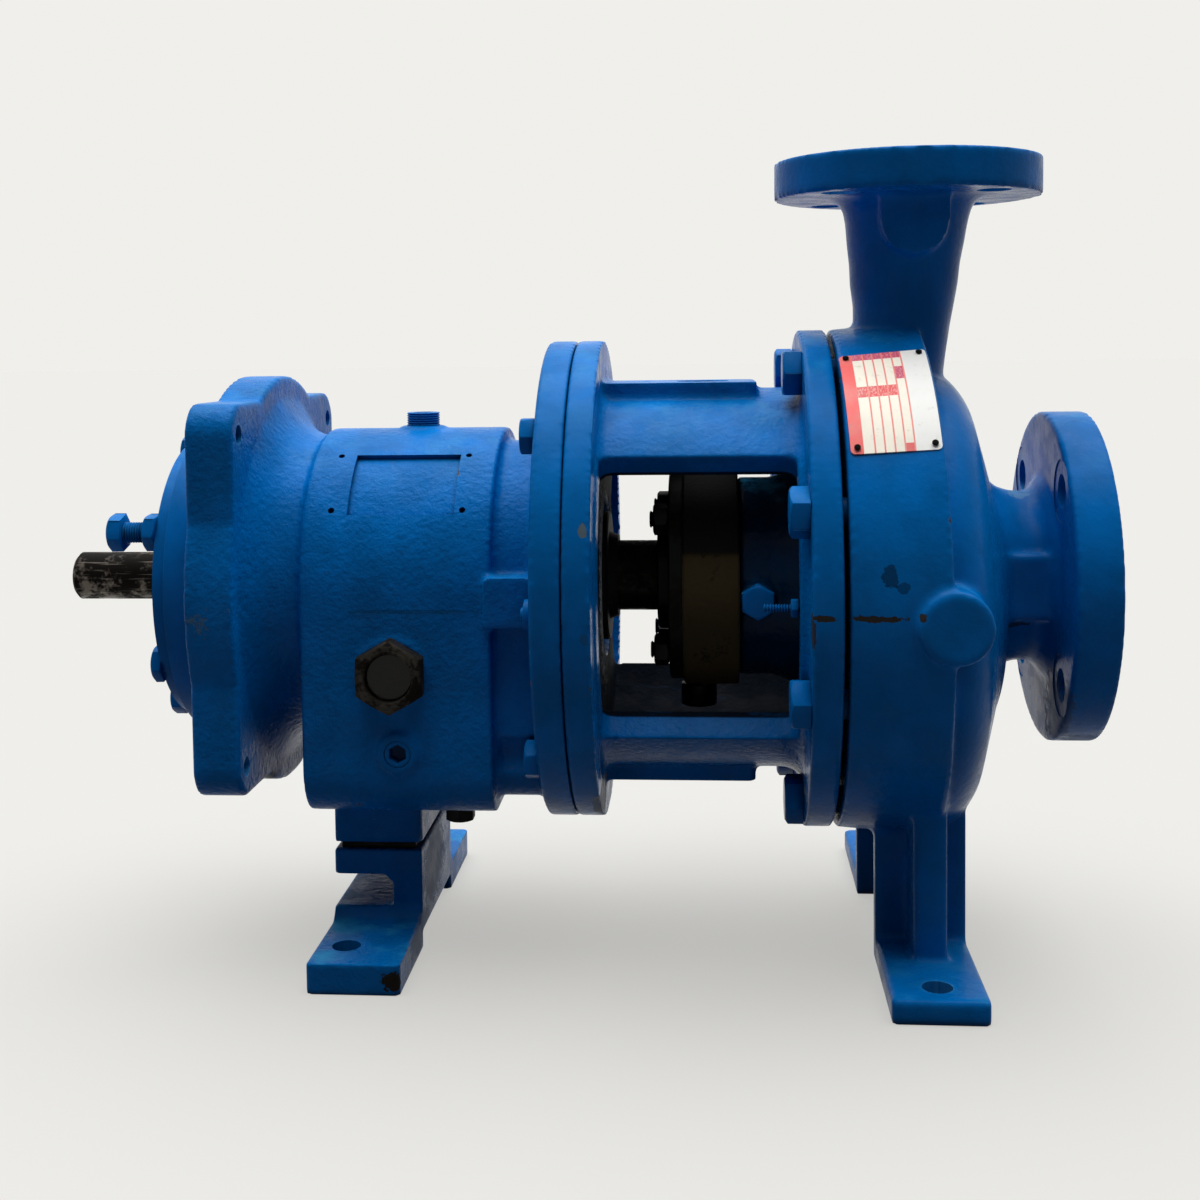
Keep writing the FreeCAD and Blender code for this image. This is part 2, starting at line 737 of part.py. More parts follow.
def build_cover():
    """Back cover with the seal chamber, its gasket and its flush plug."""
    body = turned("cover_turned", [
        (d.chamber_end_x, d.chamber_bore), (d.chamber_end_x, d.chamber_radius),
        (cover_back_x - 5, d.chamber_radius), (cover_back_x, d.chamber_radius + 5),
        (cover_back_x, cover_flange_radius), (cover_face_x, cover_flange_radius),
        (cover_face_x, cover_plug_radius), (d.cover_nose_x, cover_plug_radius),
        (d.cover_nose_x, d.hub_throat), (d.chamber_floor_x, d.hub_throat),
        (d.chamber_floor_x, d.chamber_bore)])
    flush = -d.chamber_plug_drop
    flush_boss = rod("flush_boss", d.chamber_plug_x, -(d.chamber_radius + 5), flush, 15,
                     d.chamber_plug_flats * 0.6, ALONG_Y)
    drilled = [rod("flush_hole", d.chamber_plug_x, -(d.chamber_radius + 6), flush,
                   d.chamber_radius + 7 - d.chamber_bore, d.chamber_plug_flats * 0.4, ALONG_Y)]
    drilled += rods_in_ring("cover_stud_hole", d.stud_circle, stud_angles, d.chamber_end_x - 1,
                            d.gland_thick * 0.6, d.stud_radius)
    hollow = rod("chamber_hollow", d.chamber_end_x - 1, 0, 0, d.chamber_floor_x - d.chamber_end_x + 1,
                 d.chamber_bore)
    part("seal_chamber_cover", cut("cover_body", fuse("cover_solid", [body, flush_boss]),
                                   drilled + [hollow]))
    plug = fuse("flush_plug_body", [
        hexagon("flush_plug_hex", d.chamber_plug_x, -(d.chamber_radius + 14), flush, d.chamber_plug_flats,
                9, ALONG_Y),
        rod("flush_plug_thread", d.chamber_plug_x, -(d.chamber_radius + 5), flush, 12,
            d.chamber_plug_flats * 0.4, ALONG_Y)])
    part("flush_plug", plug)
    gasket = turned("cover_gasket_ring", [
        (cover_face_x, cover_plug_radius + 0.3), (cover_face_x, cover_flange_radius),
        (d.casing_face_x, cover_flange_radius), (d.casing_face_x, cover_plug_radius + 0.3)])
    part("cover_gasket", gasket)


def build_gland():
    """Seal gland, its clamping plate, studs, nuts, drain plug and the two seal faces."""
    seat_left = d.chamber_end_x - d.seat_thick
    gland = turned("gland_turned", [
        (gland_left_x, d.gland_bore), (gland_left_x, d.gland_radius), (d.chamber_end_x, d.gland_radius),
        (d.chamber_end_x, d.chamber_bore - 0.1), (d.chamber_end_x + d.gland_pilot, d.chamber_bore - 0.1),
        (d.chamber_end_x + d.gland_pilot, d.seat_radius + 4), (d.chamber_end_x, d.seat_radius + 4),
        (d.chamber_end_x, d.seat_radius), (seat_left, d.seat_radius), (seat_left, d.gland_bore)])
    port_x = gland_left_x + d.port_plug_radius - 2
    holes = rods_in_ring("gland_stud_hole", d.stud_circle, stud_angles, gland_left_x - 1,
                         d.gland_thick + 2, d.stud_radius + 0.4)
    holes.append(rod("gland_port", port_x, 0, -d.gland_radius - 1, 9, d.port_plug_radius * 0.7, ALONG_Z))
    part("seal_gland", cut("gland_body", gland, holes))
    plug = fuse("gland_port_plug_body", [
        rod("port_plug_head", port_x, 0, -d.port_plug_drop, d.port_plug_drop - d.gland_radius - 0.4,
            d.port_plug_radius, ALONG_Z),
        rod("port_plug_thread", port_x, 0, -d.gland_radius - 1, 9, d.port_plug_radius * 0.7, ALONG_Z)])
    part("gland_port_plug", plug)
    plate = turned("gland_plate_turned", [
        (gland_plate_left_x, d.gland_hub_radius), (gland_plate_left_x, d.gland_plate_radius),
        (gland_left_x, d.gland_plate_radius), (gland_left_x, d.sleeve_radius + 1.5),
        (gland_plate_left_x - d.gland_hub_length, d.sleeve_radius + 1.5),
        (gland_plate_left_x - d.gland_hub_length, d.gland_hub_radius)])
    drill_ring(plate, "gland_plate", d.stud_circle, as_size(len(stud_angles)), 45, d.stud_radius + 0.4)
    part("gland_plate", plate)
    stud_start = gland_plate_left_x - d.stud_nut_thick - 2
    stud_length = d.chamber_end_x + d.gland_thick * 0.6 - 1 - stud_start
    part("gland_studs", group("gland_stud_set", rods_in_ring(
        "gland_stud", d.stud_circle, stud_angles, stud_start, stud_length, d.stud_radius)))
    nuts = []
    for k, angle in enumerate(stud_angles, start=1):
        y, z = ring_place(d.stud_circle, angle)
        nuts.append(cut(f"gland_nut_{k}", hexagon(
            f"gland_nut_hex_{k}", gland_plate_left_x - d.stud_nut_thick, y, z, d.stud_nut_flats,
            d.stud_nut_thick), [rod(f"gland_nut_bore_{k}", gland_plate_left_x - d.stud_nut_thick - 1, y, z,
                                    d.stud_nut_thick + 2, d.stud_radius)]))
    part("gland_nuts", group("gland_nut_set", nuts))
    seat = turned("seal_seat_ring", [
        (seat_left, d.sleeve_radius + 2), (seat_left, d.seat_radius),
        (d.chamber_end_x, d.seat_radius), (d.chamber_end_x, d.sleeve_radius + 2)])
    part("seal_seat", seat)
    head_left = d.chamber_end_x + d.seal_face_gap
    head_right = d.chamber_end_x + d.seal_head_length
    head = turned("seal_head_ring", [
        (head_left, d.sleeve_radius), (head_left, d.seat_radius - 3),
        (d.chamber_end_x + 6, d.seat_radius - 3), (d.chamber_end_x + 6, d.seal_head_radius),
        (head_right, d.seal_head_radius), (head_right, d.sleeve_radius)])
    part("seal_head", head)


def build_adapter():
    """Lantern between bearing frame and casing, with a window on each side."""
    tube = adapter_tube_radius
    inner = tube - d.adapter_tube_wall
    body = turned("adapter_turned", [
        (d.adapter_left_x, d.adapter_left_bore), (d.adapter_left_x, d.adapter_left_radius),
        (adapter_left_end_x, d.adapter_left_radius), (adapter_left_end_x, tube),
        (adapter_right_start_x, tube), (adapter_right_start_x, d.adapter_right_radius),
        (d.adapter_right_x, d.adapter_right_radius), (d.adapter_right_x, cover_flange_radius + 0.3),
        (cover_back_x, cover_flange_radius + 0.3), (cover_back_x, d.adapter_right_bore),
        (adapter_right_start_x, d.adapter_right_bore), (adapter_right_start_x, inner),
        (adapter_left_end_x, inner), (adapter_left_end_x, d.adapter_left_bore)])
    pads = []
    pad_deep = d.adapter_tube_wall * 0.7 + d.adapter_pad_proud
    pad_top = tube + d.adapter_pad_proud
    for side, name in ((1, "top"), (-1, "bottom")):
        z = pad_top - pad_deep if side > 0 else -pad_top
        pads.append(block(f"adapter_pad_{name}", adapter_left_end_x - 1, -d.adapter_pad_half, z,
                          d.adapter_pad_length, d.adapter_pad_half * 2, pad_deep))
    windows = []
    window_x = adapter_left_end_x + d.window_left_gap
    window_length = adapter_right_start_x - d.window_right_gap - window_x
    for k, middle in enumerate((90, 270), start=1):
        wedge = sector(f"window_wedge_{k}", window_x, window_length, tube * 1.3,
                       middle - d.window_half_angle, d.window_half_angle * 2)
        windows.append(rounded(f"window_{k}", wedge, d.window_corner, is_radial_corner))
    slots = []
    for side, name in ((1, "slot"), (-1, "drip_slot")):
        z = inner - pad_deep if side > 0 else -inner - pad_deep * 1.5
        slots.append(block(f"adapter_{name}", adapter_left_end_x + d.adapter_pad_length / 2,
                           -d.adapter_slot_width / 2, z, d.adapter_slot_length, d.adapter_slot_width,
                           pad_deep * 2.5))
    holes = rods_in_ring("adapter_casing_hole", casing_bolt_circle, casing_bolt_angles,
                         adapter_right_start_x - 1, d.adapter_right_thick + 2,
                         d.casing_bolt_radius + d.bolt_clearance)
    holes += rods_in_ring("adapter_frame_hole", d.frame_bolt_circle, frame_bolt_angles,
                          d.adapter_left_x - 1, d.frame_bolt_depth + 1, d.frame_bolt_radius + d.running_gap)
    holes += rods_in_ring("adapter_dowel_hole", d.dowel_circle, dowel_angles, d.adapter_left_x - 1,
                          d.frame_bolt_depth, d.dowel_radius)
    jack_y, jack_z = cover_jack_place()
    holes.append(rod("cover_jack_hole", adapter_right_start_x - 1, jack_y, jack_z, 8, d.cover_jack_radius))
    holes.append(rod("cover_jack_spot", adapter_right_start_x - d.window_right_gap - 1, jack_y, jack_z,
                     d.window_right_gap + 1, d.cover_jack_radius * 3))
    solid = fuse("adapter_solid", [body] + pads)
    part("frame_adapter", cut("adapter_body", solid, windows + slots + holes))
    jack = fuse("cover_jack_body", [
        rod("cover_jack_rod", adapter_right_start_x - d.cover_jack_reach, jack_y, jack_z,
            d.cover_jack_reach + d.cover_jack_grip, d.cover_jack_radius),
        hexagon("cover_jack_nut", adapter_right_start_x - 4.2, jack_y, jack_z, d.cover_jack_radius * 4,
                4.2)])
    part("cover_jack_screw", jack)


def cover_jack_place():
    """Place of the jack screw that draws the back cover."""
    return ring_place(cover_flange_radius - d.cover_jack_inset, 92.4)


def is_radial_corner(edge):
    """Straight edge that runs from the shaft axis outwards, across X."""
    if not isinstance(edge.Curve, Part.Line):
        return False
    return abs(edge.Curve.Direction.x) < 0.01


def build_flange_bolts():
    """Bolts from adapter to casing and from frame to adapter."""
    length = d.adapter_right_thick + (d.casing_face_x - d.adapter_right_x) + d.casing_bolt_depth - 2
    part("casing_bolts", bolts_in_ring("casing_bolt", casing_bolt_circle, casing_bolt_angles,
                                       adapter_right_start_x, d.casing_bolt_head, d.casing_bolt_flats,
                                       length, d.casing_bolt_radius))
    part("frame_bolts", bolts_in_ring("frame_bolt", d.frame_bolt_circle, frame_bolt_angles,
                                      frame_flange_left_x, d.frame_bolt_head, d.frame_bolt_flats,
                                      d.frame_flange_thick + d.frame_bolt_depth - 2, d.frame_bolt_radius))
    dowel = rods_in_ring("frame_dowel", d.dowel_circle, dowel_angles,
                         frame_flange_left_x - d.dowel_left_reach,
                         d.dowel_left_reach + d.frame_flange_thick + d.dowel_right_reach, d.dowel_radius)
    part("frame_dowels", group("frame_dowel_set", dowel))


def tunnel(label, inset, x, length):
    """Barrel section: round above, straight sides and a rounded sump below."""
    radius = d.barrel_radius - inset
    bottom = -(d.sump_depth - inset)
    corner = d.sump_corner
    return padded(label, [
        (-radius, 0, -radius), (0, radius, -radius), (radius, 0), (radius, bottom + corner, -corner),
        (radius - corner, bottom), (corner - radius, bottom, -corner), (-radius, bottom + corner)],
        x, length)


def motor_flange():
    """Square flange with four ears, for a motor adapter."""
    wide = d.motor_flange_half_wide
    high = d.motor_flange_half_high
    corner = d.motor_flange_corner
    square = padded("motor_flange_square", [
        (-wide, corner - high), (-wide, high - corner, -corner), (corner - wide, high), (wide - corner,
                                                                                         high, -corner),
        (wide, high - corner), (wide, corner - high, -corner), (wide - corner, -high), (corner - wide,
                                                                                        -high, -corner)],
        motor_flange_left_x, d.motor_flange_thick)
    disc = rod("motor_flange_disc", motor_flange_left_x, 0, 0, d.motor_flange_thick, d.motor_flange_radius)
    return [square, disc]


def build_frame():
    """Bearing frame with its oil sump, flanges, bosses and bores."""
    barrel_length = d.barrel_right_x - d.barrel_left_x
    flange = rod("frame_flange", frame_flange_left_x, 0, 0, d.frame_flange_thick, d.adapter_left_radius)
    flare = turned("frame_flare", [
        (motor_flange_left_x + 2, 0), (motor_flange_left_x + 2, d.flare_radius),
        (d.motor_flange_right_x, d.flare_radius, d.sump_corner), (d.barrel_left_x + 4, d.barrel_radius - 4),
        (d.barrel_left_x + 8, 0)])
    foot_left = d.foot_left_x
    foot_long = d.foot_right_x - d.foot_left_x
    half_side = d.side_boss_height / 2
    solids = motor_flange() + [
        flare,
        tunnel("frame_barrel", as_size(0), d.barrel_left_x, barrel_length),
        tunnel("frame_neck", d.neck_inset, d.barrel_right_x - 5,
               frame_flange_left_x - d.barrel_right_x + 6),
        flange,
        block("frame_foot_boss", foot_left, -d.foot_boss_half, -d.foot_boss_bottom, foot_long,
              d.foot_boss_half * 2, d.foot_boss_bottom - d.sump_depth + 5),
        block("frame_side_boss_near", d.barrel_right_x - 2, -d.side_boss_reach, -half_side,
              frame_flange_left_x - d.barrel_right_x + 3, 20, d.side_boss_height),
        block("frame_side_boss_far", d.barrel_right_x - 2, d.side_boss_reach - 20, -half_side,
              frame_flange_left_x - d.barrel_right_x + 3, 20, d.side_boss_height),
        rod("sight_boss", d.sight_x, -(d.barrel_radius + 2), -d.sight_drop, 12, d.sight_flats / 2 + 2,
            ALONG_Y),
        rod("level_boss", d.level_plug_x, -(d.barrel_radius + 3.5), -d.level_plug_drop, 12,
            d.level_boss_radius, ALONG_Y),
        rod("drain_boss", d.drain_x, d.drain_y, -(d.sump_depth + 2), 12, d.level_boss_radius, ALONG_Z),
        rod("fill_boss", d.fill_x, 0, d.barrel_radius - 8, 9, d.fill_radius + 4, ALONG_Z),
    ]
    outside = fuse("frame_outside", solids)
    wall = d.frame_wall
    bearing_hole = d.bearing_radius + d.running_gap
    recess = cut("name_recess", sector("name_recess_wedge", d.name_recess_left_x, d.name_recess_length,
                                       d.barrel_radius + 5, d.name_recess_first, d.name_recess_sweep),
                 [rod("name_recess_core", d.name_recess_left_x - 2, 0, 0, d.name_recess_length + 4,
                      d.barrel_radius - d.name_recess_depth)])
    hollows = [
        tunnel("frame_sump", wall, d.barrel_left_x + wall, barrel_length - wall * 2),
        rod("housing_bore", motor_flange_left_x - 1, 0, 0, d.barrel_left_x + wall - motor_flange_left_x + 3,
            d.housing_spigot_radius + d.running_gap),
        rod("radial_bore", d.barrel_right_x - wall - 2, 0, 0,
            d.radial_left_x + d.radial_width + 3 - (d.barrel_right_x - wall - 2), bearing_hole),
        rod("frame_seal_bore", d.radial_left_x, 0, 0, d.adapter_left_x - d.radial_left_x + 1,
            d.frame_seal_radius),
        rod("sight_hole", d.sight_x, -(d.barrel_radius + 3), -d.sight_drop, wall + 8,
            d.sight_window_radius, ALONG_Y),
        rod("level_hole", d.level_plug_x, -(d.barrel_radius + 5), -d.level_plug_drop, wall + 8,
            d.level_plug_radius, ALONG_Y),
        rod("fill_hole", d.fill_x, 0, d.barrel_radius - wall - 6, wall + 10, d.fill_radius - 1, ALONG_Z),
        rod("drain_hole", d.drain_x, d.drain_y, -(d.sump_depth + 3), wall + 6, d.drain_flats * 0.4,
            ALONG_Z),
        recess,
    ]
    hollows += rods_in_ring("frame_flange_hole", d.frame_bolt_circle, frame_bolt_angles,
                            frame_flange_left_x - 1, d.frame_flange_thick + 2,
                            d.frame_bolt_radius + d.bolt_clearance)
    hollows += rods_in_ring("frame_bolt_pocket", d.frame_bolt_circle, frame_bolt_angles,
                            frame_flange_left_x - d.frame_bolt_head * 3, d.frame_bolt_head * 3,
                            d.frame_bolt_flats * 0.66)
    hollows += rods_in_ring("frame_dowel_hole", d.dowel_circle, dowel_angles, frame_flange_left_x - 1,
                            d.frame_flange_thick + 2, d.dowel_radius)
    hollows += rods_in_ring("clamp_hole", d.adjuster_circle, clamp_angles, motor_flange_left_x - 1,
                            20, d.adjuster_radius + d.running_gap)
    for y_side in (-1, 1):
        for z_side in (-1, 1):
            hollows.append(rod(f"motor_hole_{y_side + 2}_{z_side + 2}", motor_flange_left_x - 1,
                               d.motor_hole_half_wide * y_side, d.motor_hole_half_high * z_side,
                               d.motor_flange_thick + 2, d.motor_hole_radius))
    hollows.append(rod("foot_bolt_hole", foot_bolt_x, 0, -d.foot_boss_bottom - 1, 16,
                       d.foot_bolt_radius + d.running_gap, ALONG_Z))
    part("bearing_frame", cut("frame_body", outside, hollows))


foot_bolt_x = d.foot_left_x + (d.foot_right_x - d.foot_left_x - d.foot_web_thick) / 2


def build_foot():
    """Frame foot: a C-shaped bracket on two pads, with its shim and bolt."""
    long = d.foot_right_x - d.foot_left_x
    top = -(d.foot_boss_bottom + d.shim_thick)
    half = d.foot_boss_half
    bridge_top = -d.foot_bridge_top
    bridge_low = floor_z + d.foot_bridge_lift
    web_x = d.foot_right_x - d.foot_web_thick
    solids = [
        block("foot_top", d.foot_left_x, -half, top - d.foot_top_thick, long, half * 2, d.foot_top_thick),
        block("foot_web", web_x, -half, bridge_low, d.foot_web_thick, half * 2, top - bridge_low),
        block("foot_bridge", d.foot_left_x, -half, bridge_low, long, half * 2, bridge_top - bridge_low),
        block("foot_pad_near", d.foot_left_x, -d.foot_reach, floor_z, long, d.foot_reach - d.foot_pad_inner,
              d.foot_pad_thick),
        block("foot_pad_far", d.foot_left_x, d.foot_pad_inner, floor_z, long,
              d.foot_reach - d.foot_pad_inner,
              d.foot_pad_thick),
    ]
    body = rounded("foot_rounded", fuse("foot_solid", solids), d.foot_bridge_lift * 0.8, is_foot_corner)
    holes = [rod("foot_bolt_clear", foot_bolt_x, 0, top - d.foot_top_thick - 1, d.foot_top_thick + 2,
                 d.foot_bolt_radius + d.bolt_clearance, ALONG_Z)]
    for side, name in ((-1, "near"), (1, "far")):
        holes.append(rod(f"frame_foot_hole_{name}", -d.foot_hole_distance, d.frame_foot_span / 2 * side,
                         floor_z - 1, d.foot_pad_thick + 2, d.foot_hole_radius, ALONG_Z))
    part("frame_foot", cut("foot_body", body, holes))
    shim = cut("shim_body", block("shim_plate", d.foot_left_x + 4, -(half - 4), top, long - 8, half * 2 - 8,
                                  d.shim_thick),
               [rod("shim_hole", foot_bolt_x, 0, top - 1, d.shim_thick + 2,
                    d.foot_bolt_radius + d.bolt_clearance, ALONG_Z)])
    part("foot_shim", shim)
    head_z = top - d.foot_top_thick - d.foot_bolt_head
    bolt = fuse("foot_bolt_body", [
        hexagon("foot_bolt_hex", foot_bolt_x, 0, head_z, d.foot_bolt_flats, d.foot_bolt_head, ALONG_Z),
        rod("foot_bolt_shank", foot_bolt_x, 0, head_z + d.foot_bolt_head,
            d.foot_top_thick + d.shim_thick + 14,
            d.foot_bolt_radius, ALONG_Z)])
    part("foot_bolt", bolt)


def is_foot_corner(edge):
    """Inner corner between a foot pad and the upright of the bracket."""
    if not isinstance(edge.Curve, Part.Line) or abs(edge.Curve.Direction.x) < 0.99:
        return False
    middle = edge.CenterOfMass
    pad_top = d.foot_pad_thick.value
    return abs(abs(middle.y) - d.foot_boss_half.value) < 0.1 and abs(middle.z - pad_top) < 0.1


def build_oil_fittings():
    """Sight glass, level plug, fill nipple and drain plug."""
    side = -(d.barrel_radius + 2)
    sight = cut("sight_shell", fuse("sight_solid", [
        hexagon("sight_hex", d.sight_x, side - d.sight_thick, -d.sight_drop, d.sight_flats,
                d.sight_thick, ALONG_Y),
        rod("sight_thread", d.sight_x, side, -d.sight_drop, d.frame_wall, d.sight_window_radius, ALONG_Y)]),
        [rod("sight_bore", d.sight_x, side - d.sight_thick - 1, -d.sight_drop,
             d.sight_thick + d.frame_wall + 2,
             d.sight_window_radius - 3, ALONG_Y),
         rod("sight_counterbore", d.sight_x, side - d.sight_thick - 1, -d.sight_drop, 7,
             d.sight_window_radius, ALONG_Y)])
    part("oil_sight_body", sight)
    part("oil_sight_glass", rod("sight_glass_disc", d.sight_x, side - d.sight_thick + 2, -d.sight_drop, 4,
                                d.sight_window_radius, ALONG_Y))
    level_side = -(d.barrel_radius + 3.5)
    part("oil_level_plug", cut("level_plug_body", rod(
        "level_plug_rod", d.level_plug_x, level_side, -d.level_plug_drop, 12, d.level_plug_radius, ALONG_Y),
        [hexagon("level_socket", d.level_plug_x, level_side - 1, -d.level_plug_drop, d.level_socket_flats,
                 7,
                 ALONG_Y)]))
    part("oil_fill_nipple", cut("fill_nipple_body", fuse("fill_nipple_solid", [
        rod("fill_nipple_rod", d.fill_x, 0, d.barrel_radius + 1, d.fill_stand - 1, d.fill_radius, ALONG_Z),
        rod("fill_nipple_thread", d.fill_x, 0, d.barrel_radius - 7, 9, d.fill_radius - 1, ALONG_Z)]),
        [rod("fill_nipple_bore", d.fill_x, 0, d.barrel_radius - 8, d.fill_stand * 2, d.fill_radius - 4,
             ALONG_Z)]))
    bottom = -(d.sump_depth + 2)
    part("drain_plug", fuse("drain_plug_body", [
        hexagon("drain_hex", d.drain_x, d.drain_y, -d.drain_drop, d.drain_flats, d.drain_drop + bottom,
                ALONG_Z),
        rod("drain_thread", d.drain_x, d.drain_y, bottom, 10, d.drain_flats * 0.4, ALONG_Z)]))


def drill_adjusters(body, label):
    """Clearance holes for the clamp bolts and close holes for the jacking screws."""
    drill_ring(body, label + "_clamp", d.adjuster_circle, d.adjuster_count,
               d.adjuster_first_angle + as_size(180) / d.adjuster_count,
               d.adjuster_radius + d.bolt_clearance)
    drill_ring(body, label + "_jack", d.adjuster_circle, d.adjuster_count, d.adjuster_first_angle,
               d.adjuster_radius + d.running_gap)


def build_housing():
    """Bearing housing that slides in the frame, with its cover, seals and adjusters."""
    bearing_hole = d.bearing_radius
    thrust_right = d.thrust_left_x + d.thrust_width
    groove_x = housing_seat_x + d.ring_place_along
    housing = turned("housing_turned", [
        (d.housing_step_x, bearing_hole), (d.housing_step_x, d.housing_flange_radius),
        (housing_seat_x, d.housing_flange_radius), (housing_seat_x, d.housing_spigot_radius),
        (groove_x, d.housing_spigot_radius), (groove_x, d.housing_spigot_radius - d.ring_groove),
        (groove_x + d.ring_groove * 1.5, d.housing_spigot_radius - d.ring_groove),
        (groove_x + d.ring_groove * 1.5, d.housing_spigot_radius),
        (d.housing_spigot_end_x, d.housing_spigot_radius), (d.housing_spigot_end_x, d.housing_lip_radius),
        (thrust_right, d.housing_lip_radius), (thrust_right, bearing_hole)])
    drill_adjusters(housing, "housing")
    part("bearing_housing", housing)
    ring = doc.addObject("Part::Torus", "housing_ring")
    thick = d.ring_groove / 2
    bind(ring, Radius1=d.housing_spigot_radius - thick, Radius2=thick - 0.05)
    part("housing_o_ring", put(ring, groove_x + d.ring_groove * 0.75, 0, 0, ALONG_X))
    seal_right = d.housing_face_x + 1 + d.oil_seal_length
    cover = turned("end_cover_turned", [
        (d.housing_face_x, d.oil_seal_radius), (d.housing_face_x, d.housing_face_radius),
        (d.housing_step_x, d.housing_face_radius), (d.housing_step_x, bearing_hole - 0.1),
        (d.thrust_left_x, bearing_hole - 0.1), (d.thrust_left_x, d.end_cover_bore),
        (seal_right, d.end_cover_bore), (seal_right, d.oil_seal_radius)])
    drill_adjusters(cover, "end_cover")
    part("bearing_end_cover", cover)
    stator = turned("oil_seal_ring", [
        (d.housing_face_x + 1, d.seal_journal + 0.3), (d.housing_face_x + 1, d.oil_seal_radius),
        (seal_right, d.oil_seal_radius), (seal_right, d.seal_journal + 0.3)])
    part("outboard_oil_seal", stator)
    nuts = []
    for k, angle in enumerate(jack_angles, start=1):
        y, z = ring_place(d.adjuster_circle, angle)
        nuts.append(cut(f"jam_nut_{k}", hexagon(
            f"jam_nut_hex_{k}", d.housing_face_x - d.jam_nut_thick, y, z, d.adjuster_flats,
            d.jam_nut_thick),
            [rod(f"jam_nut_bore_{k}", d.housing_face_x - d.jam_nut_thick - 1, y, z, d.jam_nut_thick + 2,
                 d.adjuster_radius + d.running_gap)]))
    part("jam_nuts", group("jam_nut_set", nuts))
    part("clamp_bolts", bolts_in_ring("clamp_bolt", d.adjuster_circle, clamp_angles,
                                      d.housing_face_x, d.adjuster_head, d.adjuster_flats,
                                      motor_flange_left_x - d.housing_face_x + 17, d.adjuster_radius))
    for k, angle in enumerate(jack_angles, start=1):
        y, z = ring_place(d.adjuster_circle, angle)
        out = d.jack_out if k == 1 else d.jack_out_others
        head_x = d.housing_face_x - out + d.adjuster_head
        part(f"jack_screw_{k}", hex_bolt(f"jack_{k}", head_x, y, z, d.adjuster_head, d.adjuster_flats,
                                         motor_flange_left_x - head_x - 0.2, d.adjuster_radius))


def bearing(name, x, width, rows):
    """Inner race, outer race and balls of a ball bearing; rows are places across its width."""
    inner_top = d.journal_radius + d.race_thick
    outer_low = d.bearing_radius - d.race_thick
    pitch = (inner_top + outer_low) / 2
    groove = d.ball_radius + d.ball_gap
    inner = turned(name + "_inner_blank", [
        (x, d.journal_radius), (x, inner_top), (x + width, inner_top), (x + width, d.journal_radius)])
    outer = turned(name + "_outer_blank", [
        (x, outer_low), (x, d.bearing_radius), (x + width, d.bearing_radius), (x + width, outer_low)])
    rings = []
    balls = []
    for row, place in enumerate(rows, start=1):
        ring = doc.addObject("Part::Torus", f"{name}_groove_{row}")
        bind(ring, Radius1=pitch, Radius2=groove)
        put(ring, x + width * place, 0, 0, ALONG_X)
        rings.append(ring)
        for k, angle in enumerate(ring_angles(d.ball_count, 0), start=1):
            y, z = ring_place(pitch, angle)
            ball = doc.addObject("Part::Sphere", f"{name}_ball_{row}_{k}")
            bind(ball, Radius=d.ball_radius)
            balls.append(put(ball, x + width * place, y, z, ALONG_X))
    part(f"{name}_inner_race", cut(name + "_inner", inner, rings))
    part(f"{name}_outer_race", cut(name + "_outer", outer, rings))
    part(f"{name}_balls", group(name + "_ball_set", balls))


